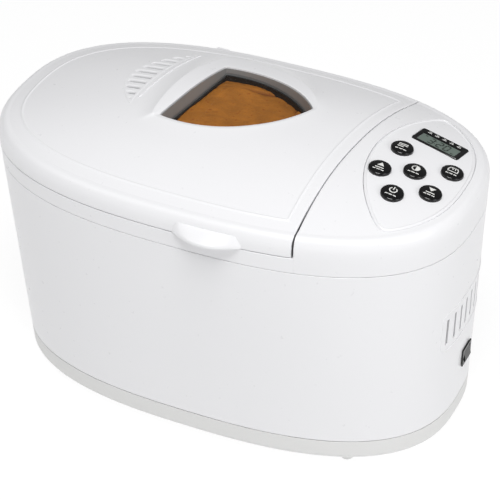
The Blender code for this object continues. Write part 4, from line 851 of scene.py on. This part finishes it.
def button_marks(name):
    """Generic marks of one button."""
    words = caption(-4.6, (-5.2, -2.6), (-1.8, 1.4), (2.2, 5.0))
    return {
        "menu": caption(3.4, (-4.4, 4.4)) + caption(1.2, (-4.4, 4.4)) + caption(-1.0, (-4.4, 1.4)) + words,
        "time_up": [wedge((0, 5.6), (0, 0.6), 6.4)] + caption(-2.0, (-4, 4)) + words,
        "time_down": [wedge((0, -0.2), (0, 4.8), 6.4)] + caption(-2.0, (-4, 4)) + words,
        "crust": [(ring_path(3.4, 0, 1.8), 0.9), (ring_path(1.7, 0, 1.8, -90, 90), 3.2)] + words,
        "start_stop": [(ring_path(3.2, 0, 1.6, 125, 415), 1.0), (line_path((0, 1.6), (0, 6.2)), 1.0)] + words,
        "loaf_size": [(line_path((-4.4, -1.4), (-4.4, 2.2), (-3.2, 4.4), (3.2, 4.4), (4.4, 2.2), (4.4, -1.4),
                                 (-4.4, -1.4)), 0.9), (line_path((-1.4, 3.4), (-0.4, 1.2)), 0.8),
                      (line_path((1.0, 3.4), (2.0, 1.2)), 0.8)] + words,
    }[name]


def make_buttons(kit, sizes):
    """Each button is a circle carried up a rounded, crowned profile, with printed marks on its crown."""
    profile = np.array(BUTTON_PROFILE, float)
    profile[:, 0] *= sizes.button_radius / METRE / BUTTON_RADIUS
    crown = profile[2:][::-1]
    for name, (x, y) in button_seats().items():
        place = seat(x, y)
        node = "button_" + name
        cap = surface(node + "_cap", placed(turned_grid(profile), place), kit["black_gloss"])
        dress(cap, "black_gloss", node, node)
        marks = strokes(node + "_marks", button_marks(name), kit["legend"], 0.1,
                        lambda u, v, h, p=place: placed(
                            np.stack([u, v, np.interp(np.hypot(u, v), crown[:, 0], crown[:, 1]) + h], 1), p))
        dress(marks, "white_abs", node)


SEGMENTS = {"0": "abcdef", "2": "abged", "3": "abgcd"}


def digit(figure, x, y, wide=4.4, tall=8.6, lean=0.08):
    """The lit bars of one seven-bar figure, leaning a little to the right."""
    h, w, gap = tall / 2, wide / 2, 0.45
    level = {bar: ((-w + gap, v), (w - gap, v)) for bar, v in (("a", h), ("g", 0), ("d", -h))}
    upright = {"f": ((-w, h - gap), (-w, gap)), "b": ((w, h - gap), (w, gap)),
               "e": ((-w, -gap), (-w, -h + gap)), "c": ((w, -gap), (w, -h + gap))}
    bars = level | upright
    return [(line_path(*[(x + u + lean * v, y + v) for u, v in bars[bar]]), 1.15)
            for bar in SEGMENTS[figure]]


def make_display(kit):
    """The bezel is a rounded frame on the dome, with a screen, its figures and printed ticks."""
    place = seat(*SCREEN_AT, np.radians(SCREEN_TURN))
    drop, foot, film, face = SCREEN_DROP, -3.2, 0.35, 0.8
    rows = [(rounded_box_loop(24, 11.5, 2.5), foot), (rounded_box_loop(24, 11.5, 2.5), 0.2),
            (rounded_box_loop(23.4, 10.9, 2.0), face), (rounded_box_loop(20.1, 7.1, 1.2, y=drop), face),
            (rounded_box_loop(19.5, 6.5, 0.8, y=drop), 0.6), (rounded_box_loop(19.5, 6.5, 0.8, y=drop), foot)]
    bezel = surface("display_surround", placed(loops_grid(rows), place), kit["black_gloss"],
                    close_rows=True)
    dress(bezel, "black_gloss", "housing", "display_bezel")
    rows = [(rounded_box_loop(19.1, 6.1, 0.6, y=drop), height) for height in (foot, film)]
    screen = surface("display_film", placed(loops_grid(rows), place), kit["display"])
    dress(screen, "display", "housing", "display_screen")

    def laid(name, runs, material, slot, level):
        """Thin lines on the display's face at a level."""
        made = strokes(name, runs, material, 0.12,
                       lambda u, v, h: placed(np.stack([u, v, h + level + 0 * u], 1), place))
        dress(made, slot, "housing")

    runs = digit("3", -7.5, drop) + digit("2", 1.0, drop) + digit("0", 8.2, drop)
    runs += [(line_path((-3.4, drop + 1.8), (-3.4, drop + 2.6)), 0.9),
             (line_path((-3.6, drop - 2.4), (-3.6, drop - 1.6)), 0.9)]
    runs += caption(drop + 4.2, (-15.5, -13.5)) + caption(drop - 4.2, (14.0, 16.4))
    laid("display_figures", runs, kit["segment"], "display", film)
    middles = (-17.0, -9.5, -2.0, 5.5, 13.0)
    ticks = [(line_path((u, 7.2), (u + 4.0, 7.2)), 0.9) for u in middles]
    ticks += [(line_path((u + 0.8, 9.0), (u + 3.2, 9.0)), 0.7) for u in middles]
    laid("display_ticks", ticks, kit["legend"], "white_abs", face)


# ---- Housing ---------------------------------------------------------------------------------------
def wall_turn(y, z):
    """Turn of the ray from the middle to the right-hand wall at a place across it."""
    return np.arctan2(y, wall_x(y, z))


def make_body(kit):
    """The side shell: a straight-tapered oval wall, with slots and the switch's opening cut in it.

    The wall's outer and inner faces are one grid of rings.  Its rays and rings fall on the edges of
    the openings, whose quads are left out and whose four sides are then walled between the faces.
    """
    middles = SLOT_FIRST + SLOT_PITCH * np.arange(SLOT_COUNT)
    openings = [(y - SLOT_HALF, y + SLOT_HALF, SLOT_FOOT, SLOT_HEAD) for y in middles]
    openings.append((SWITCH_Y - SWITCH_HALF, SWITCH_Y + SWITCH_HALF, SWITCH_FOOT, SWITCH_HEAD))
    turns = np.array([wall_turn(y, (foot + head) / 2) for near, far, foot, head in openings
                      for y in (near, far)])
    even = np.linspace(0, TAU, 360, endpoint=False)
    near_cut = np.min(np.abs((even[:, None] - turns[None, :] + np.pi) % TAU - np.pi), 1) < 0.004
    turn = np.unique(np.round(np.concatenate([even[~near_cut], turns % TAU]), 9))
    low, high, rounding = BODY_LOW[2], BODY_HIGH[2], 0.4
    heights = np.array([low, low + rounding, 40, 52, SWITCH_FOOT, 71, SWITCH_HEAD, 90, 102, SLOT_FOOT, 122,
                        132, SLOT_HEAD, 155, 175, 195, high - rounding, high])
    drawn = np.where((heights == low) | (heights == high), rounding, 0.0)
    cos, sin, z = np.cos(turn)[None, :], np.sin(turn)[None, :], heights[:, None]
    radii = oval_radius(cos, sin, z, drawn[:, None]), oval_radius(cos, sin, z, WALL)
    outside, inside = [np.stack([radius * cos, radius * sin, z + 0 * cos], -1) for radius in radii]
    count, columns = len(heights), len(turn)
    grid = np.concatenate([outside, inside[::-1]])
    quads = sheet_quads(2 * count, columns, True, True).reshape(2 * count, columns, 4)
    kept = np.ones((2 * count, columns), bool)
    walls = []
    for near, far, foot, head in openings:
        z = (foot + head) / 2       # the rays fall on the opening's edges at its middle height
        c0, c1 = [int(np.argmin(np.abs(turn - wall_turn(y, z) % TAU))) for y in (near, far)]
        span = np.arange(c0, c1 + (columns if c1 < c0 else 0) + 1) % columns
        r0, r1 = int(np.argmin(np.abs(heights - foot))), int(np.argmin(np.abs(heights - head)))
        kept[r0:r1, span[:-1]] = False
        kept[2 * count - 1 - r1:2 * count - 1 - r0, span[:-1]] = False
        tall = np.arange(r0, r1 + 1)
        loop_rows = np.concatenate([0 * span + r0, tall[1:], 0 * span[1:] + r1, tall[::-1][1:]])
        loop_columns = np.concatenate([span, 0 * tall[1:] + span[-1], span[::-1][1:], 0 * tall[1:] + span[0]])
        outer = loop_rows * columns + loop_columns
        inner = (2 * count - 1 - loop_rows) * columns + loop_columns
        walls.append(np.stack([outer[:-1], outer[1:], inner[1:], inner[:-1]], 1))
    faces = quads[kept].tolist() + np.vstack(walls).tolist()
    dress(piece("body_shell", grid, faces, kit["white_abs"]), "white_abs", "housing", "outer_body")


def make_slot_surround(kit):
    """A thin raised line round the side slots: a rounded frame laid on the wall."""
    middle = SLOT_FIRST + SLOT_PITCH * (SLOT_COUNT - 1) / 2
    loop = rounded_box_loop(57.5, 21.0, 7.0, 10, middle, (SLOT_FOOT + SLOT_HEAD) / 2)
    path = rounded(np.vstack([loop, loop[:1]]), 0.6, 1.5)
    made = strokes("slot_surround", [(np.vstack([path, path[:2]]), 1.5)], kit["white_abs"], 0.45,
                   lambda y, z, h: np.stack([wall_x(y, z) + h, y, z], 1))
    dress(made, "white_abs", "housing")


def make_base(kit):
    """The tray under the shell, rounded into its floor, with a return inside; and its four feet."""
    turn = np.linspace(0, TAU, 300, endpoint=False)
    corner, high = 5, TRAY_HIGH[2]
    profile = [(BOTTOM + corner * (1 - np.cos(a)), corner * (1 - np.sin(a)))
               for a in np.radians([0, 20, 40, 60, 80])]
    profile += [(BOTTOM + 6, 0), (BOTTOM + 14, 0), (high - 0.4, 0), (high, 0.4), (high, WALL),
                (BOTTOM + corner, WALL), (BOTTOM + WALL, corner + WALL)]
    grid = np.stack([ring((0, 0), turn, oval_radius(np.cos(turn), np.sin(turn), z, inset), z)
                     for z, inset in profile])
    dress(surface("base_shell", grid, kit["base_abs"]), "base_abs", "housing", "base_tray")
    foot = turned_grid(((0, 0), (5.0, 0), (5.6, 0.25), (6.0, 0.9), (6.5, 6.0), (6.5, 6.6), (0, 6.6)), 40)
    for name in ("foot_front_left", "foot_front_right", "foot_rear_left", "foot_rear_right"):
        middle = sum(box_mm(name)) / 2
        grid = foot + np.array([middle[0], middle[1], 0.0])
        dress(surface(name + "_pad", grid, kit["base_abs"]), "base_abs", "housing", name)


# ---- Inner parts and the loaf ----------------------------------------------------------------------
INNER_FINISHES = {
    "chamber_steel": ("baking_chamber", "lid_liner", "chassis", "motor_housing"),
    "wire_steel": ("pan_handle", "heating_element", "pan_clip_front", "pan_clip_rear", "pan_base_ring",
                   "drive_shaft_left", "drive_shaft_right", "motor_shaft", "pan_spindle_left",
                   "pan_spindle_right", "drive_coupler_left", "drive_coupler_right"),
    "pan_coating": ("bread_pan", "kneading_paddle_left", "kneading_paddle_right"),
    "rubber": ("spindle_seal_left", "spindle_seal_right", "drive_belt", "link_belt"),
    "board": ("control_board", "power_board"),
    "brass": ("shaft_bearing_left", "shaft_bearing_right", "temperature_sensor"),
    "drive_plastic": ("drive_pulley", "motor_pulley", "link_pulley_left", "link_pulley_right",
                      "motor_capacitor"),
    "black_gloss": ("switch_frame", "power_rocker", "cord_gland"),
    "white_abs": ("lid_hinge_arm_left", "lid_hinge_arm_right", "hinge_bracket_left", "hinge_bracket_right"),
}


def finish_inner_parts(kit, sizes):
    """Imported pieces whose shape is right: welded, with small bevels and smooth round faces."""
    for slot, names in INNER_FINISHES.items():
        for name in names:
            node = frame["nodes"][name]
            node.data.materials.clear()
            node.data.materials.append(kit[slot])
            node.data.shade_smooth()
            weld = node.modifiers.new("weld", "WELD")
            weld.merge_threshold = 2e-6
            bevel = node.modifiers.new("edges", "BEVEL")
            bevel.width = sizes.bevel
            bevel.segments = 2
            bevel.limit_method = "ANGLE"
            bevel.angle_limit = np.radians(40)
            bevel.use_clamp_overlap = True
            split = node.modifiers.new("creases", "EDGE_SPLIT")
            split.split_angle = np.radians(50)
            flat = node.modifiers.new("flats", "WEIGHTED_NORMAL")
            flat.weight = 100


def make_loaf(kit):
    """Baked bread as dressing: a superellipse block of power 3 that narrows into the pan.

    Its crown rises as (1 - s^6)^0.5 from edge to middle, with low waves and with cracks where a
    bent sine wave passes through zero.
    """
    turn = np.linspace(0, TAU, 220, endpoint=False)[None, :]
    share = np.concatenate([np.linspace(0, 0.9, 50), np.linspace(0.91, 1.0, 12)])[:, None]
    power = 3.0
    half_x, half_y = LOAF_HALF
    cos, sin = np.cos(turn), np.sin(turn)
    edge = ((np.abs(cos) / half_x) ** power + (np.abs(sin) / half_y) ** power) ** (-1 / power)
    x, y = edge * share * cos, edge * share * sin
    crown = LOAF_CROWN + LOAF_RISE * (1 - share ** 6) ** 0.5 + 0 * turn
    wave = np.sin(x / 13.0 + 1.7 * np.sin(y / 19.0)) + np.sin(y / 11.0 + 1.3 * np.sin(x / 23.0 + 1.0))
    bend = (2.2 * np.sin(x / 47.0 + y / 61.0 + 0.4) + 1.1 * np.sin(y / 21.0 - x / 33.0)
            + 0.35 * np.sin(x / 9.0))
    ridge = np.sin(x / 34.0 - y / 21.0 + bend)
    broken = smooth(0.55 + 0.9 * np.sin(x / 27.0 + 2.0 * np.sin(y / 35.0)) * np.sin(y / 24.0 + 1.0))
    crack = broken * np.exp(-(ridge / (0.10 + 0.09 * np.sin(x / 17.0 + y / 13.0) ** 2)) ** 2)
    fine = np.sin(x / 3.1 + 2 * np.sin(y / 4.3)) * np.sin(y / 2.7 + 2 * np.sin(x / 5.1))
    fade = smooth((1 - share) / 0.15)
    crown = crown + fade * (0.8 * wave - 2.6 * crack + 0.3 * fine - 1.2)
    top = np.stack([x, y, crown], -1)
    below = ((0.985, 236.0), (0.94, 231.0), (0.88, 222.0), (0.8, 208.0), (0.7, 190.0), (0.655, 176.0),
             (0.65, 120.0), (0.6, 93.0))
    sides = [np.stack([x[-1] * k, y[-1] * k, z + 0 * x[-1]], -1) for k, z in below]
    grid = np.concatenate([top, np.stack(sides)]) + np.array([CHAMBER_X, 0.0, 0.0])
    # Painted shade down the cracks, fading out towards the crown's edge; none on the sides.
    shade = np.concatenate([crack * fade, np.zeros((len(below), turn.shape[1]))])
    loaf = surface("loaf", grid, kit["crust"], angle=180, shade=shade)
    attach(loaf, "pan")


# ---- Stage, in metres ------------------------------------------------------------------------------
LIGHT_AIM = (0, 0, 0.12)
LIGHTS = {
    # name: place, disc's width, watts
    "key": ((0.3, -0.75, 2.0), 1.0, 29),
    "side": ((1.9, -0.5, 1.0), 1.0, 10),
    "fill": ((-1.2, -0.9, 1.6), 1.2, 3),
}
SKY_STRENGTH, FLOOR_TONE, FLOOR_GLOW = 0.2, 0.2, 0.86
VIEW_TURN, VIEW_TILT, VIEW_DISTANCE = 25.035, 35.585, 1.9616   # degrees right and up, metres
VIEW_POINT = (0.0, 0.0168, 0.117)
LENS, SENSOR, SHIFT_X, SHIFT_Y = 150.8, 36.0, 0.0033, -0.0068   # mm, mm and shares of the frame


def aimed(place, aim):
    """Turn that points an object's -Z from a place at an aim, with its Y upwards."""
    return (Vector(aim) - Vector(place)).to_track_quat("-Z", "Y").to_euler()


def area_light(name, place, size, power):
    """A disc of light at a place, facing the machine."""
    data = bpy.data.lights.new(name, "AREA")
    data.shape = "DISK"
    data.size = size
    data.energy = power
    light = bpy.data.objects.new(name, data)
    light.location = place
    light.rotation_euler = aimed(place, LIGHT_AIM)
    bpy.context.scene.collection.objects.link(light)


def make_stage(colours):
    """Pale seamless floor just under the feet, soft light from above and the right, and the camera."""
    span = np.linspace(-6, 6, 25)
    x, y = np.meshgrid(span, span)
    mesh = bpy.data.meshes.new("floor")
    mesh.from_pydata(np.stack([x, y, 0 * x - 0.0004], -1).reshape(-1, 3), [],
                     sheet_quads(len(span), len(span), False, False).tolist())
    floor = bpy.data.objects.new("floor", mesh)
    bpy.context.scene.collection.objects.link(floor)
    material = bpy.data.materials.new("floor_paper_matt")
    material.use_nodes = True
    shader = material.node_tree.nodes["Principled BSDF"]
    shader.inputs["Base Color"].default_value = (FLOOR_TONE, FLOOR_TONE, FLOOR_TONE, 1)
    shader.inputs["Roughness"].default_value = 0.9
    shader.inputs["Specular IOR Level"].default_value = 0.0
    shader.inputs["Emission Color"].default_value = linear(colours.floor)
    shader.inputs["Emission Strength"].default_value = FLOOR_GLOW
    mesh.materials.append(material)

    world = bpy.data.worlds.new("studio")
    bpy.context.scene.world = world
    world.use_nodes = True
    sky = world.node_tree.nodes["Background"]
    sky.inputs["Color"].default_value = (1.0, 1.0, 1.0, 1)
    sky.inputs["Strength"].default_value = SKY_STRENGTH
    for name, (place, size, power) in LIGHTS.items():
        area_light(name, place, size, power)

    turn, tilt = np.radians(VIEW_TURN), np.radians(VIEW_TILT)
    back = np.array([np.sin(turn) * np.cos(tilt), -np.cos(turn) * np.cos(tilt), np.sin(tilt)])
    data = bpy.data.cameras.new("camera")
    data.lens = LENS
    data.sensor_width = SENSOR
    data.shift_x = SHIFT_X
    data.shift_y = SHIFT_Y
    camera = bpy.data.objects.new("camera", data)
    camera.location = np.array(VIEW_POINT) + back * VIEW_DISTANCE
    camera.rotation_euler = aimed(camera.location, VIEW_POINT)
    bpy.context.scene.collection.objects.link(camera)
    bpy.context.scene.camera = camera
    bpy.context.scene.view_settings.view_transform = "Standard"


# ---- Operators, panel and registration -------------------------------------------------------------
def chosen(context):
    """The scene's size and colour settings."""
    return context.scene.bread_machine_sizes, context.scene.bread_machine_colours


class BREAD_OT_housing(bpy.types.Operator):
    """Build the side shell, the base tray and the feet"""
    bl_idname = "bread.housing"
    bl_label = "Housing"

    def execute(self, context):
        kit = finishes()
        make_body(kit)
        make_slot_surround(kit)
        make_base(kit)
        return {"FINISHED"}


class BREAD_OT_cover(bpy.types.Operator):
    """Build the top cover with its console hood, and the control panel"""
    bl_idname = "bread.cover"
    bl_label = "Top cover and panel"

    def execute(self, context):
        sizes, _ = chosen(context)
        kit = finishes()
        make_cover(kit, sizes)
        make_panel(kit, sizes)
        return {"FINISHED"}


class BREAD_OT_controls(bpy.types.Operator):
    """Build the six buttons and the display"""
    bl_idname = "bread.controls"
    bl_label = "Buttons and display"

    def execute(self, context):
        sizes, _ = chosen(context)
        kit = finishes()
        make_buttons(kit, sizes)
        make_display(kit)
        return {"FINISHED"}


class BREAD_OT_lid(bpy.types.Operator):
    """Build the lid with its grip, steam louvres and window"""
    bl_idname = "bread.lid"
    bl_label = "Lid"

    def execute(self, context):
        sizes, _ = chosen(context)
        kit = finishes()
        make_lid(kit, sizes)
        make_grip(kit)
        make_louvres(kit, sizes)
        make_window(kit)
        return {"FINISHED"}


class BREAD_OT_inside(bpy.types.Operator):
    """Finish the chamber, pan, drive and mains parts"""
    bl_idname = "bread.inside"
    bl_label = "Inner parts"

    def execute(self, context):
        sizes, _ = chosen(context)
        finish_inner_parts(finishes(), sizes)
        return {"FINISHED"}


class BREAD_OT_stage(bpy.types.Operator):
    """Add the loaf, the floor, the lights and the camera"""
    bl_idname = "bread.stage"
    bl_label = "Loaf, floor, light and camera"

    def execute(self, context):
        _, colours = chosen(context)
        make_loaf(finishes())
        make_stage(colours)
        return {"FINISHED"}


class BREAD_PT_panel(bpy.types.Panel):
    """Lists the steps and their settings"""
    bl_label = "Bread Machine"
    bl_idname = "BREAD_PT_panel"
    bl_space_type = "VIEW_3D"
    bl_region_type = "UI"
    bl_category = "Bread Machine"

    def draw(self, context):
        layout = self.layout
        for operator in OPERATORS:
            layout.operator(operator.bl_idname)
        for group in chosen(context):
            for key in group.__annotations__:
                layout.prop(group, key)


OPERATORS = (BREAD_OT_housing, BREAD_OT_cover, BREAD_OT_controls, BREAD_OT_lid, BREAD_OT_inside,
             BREAD_OT_stage)
CLASSES = (BreadMachineColours, BreadMachineSizes, *OPERATORS, BREAD_PT_panel)


def register():
    for kind in CLASSES:
        bpy.utils.register_class(kind)
    bpy.types.Scene.bread_machine_colours = bpy.props.PointerProperty(type=BreadMachineColours)
    bpy.types.Scene.bread_machine_sizes = bpy.props.PointerProperty(type=BreadMachineSizes)


def unregister():
    del bpy.types.Scene.bread_machine_sizes
    del bpy.types.Scene.bread_machine_colours
    for kind in reversed(CLASSES):
        bpy.utils.unregister_class(kind)


def main():
    register()
    bpy.ops.bread.housing()
    bpy.ops.bread.cover()
    bpy.ops.bread.controls()
    bpy.ops.bread.lid()
    bpy.ops.bread.inside()
    bpy.ops.bread.stage()


if __name__ == "__main__":
    main()
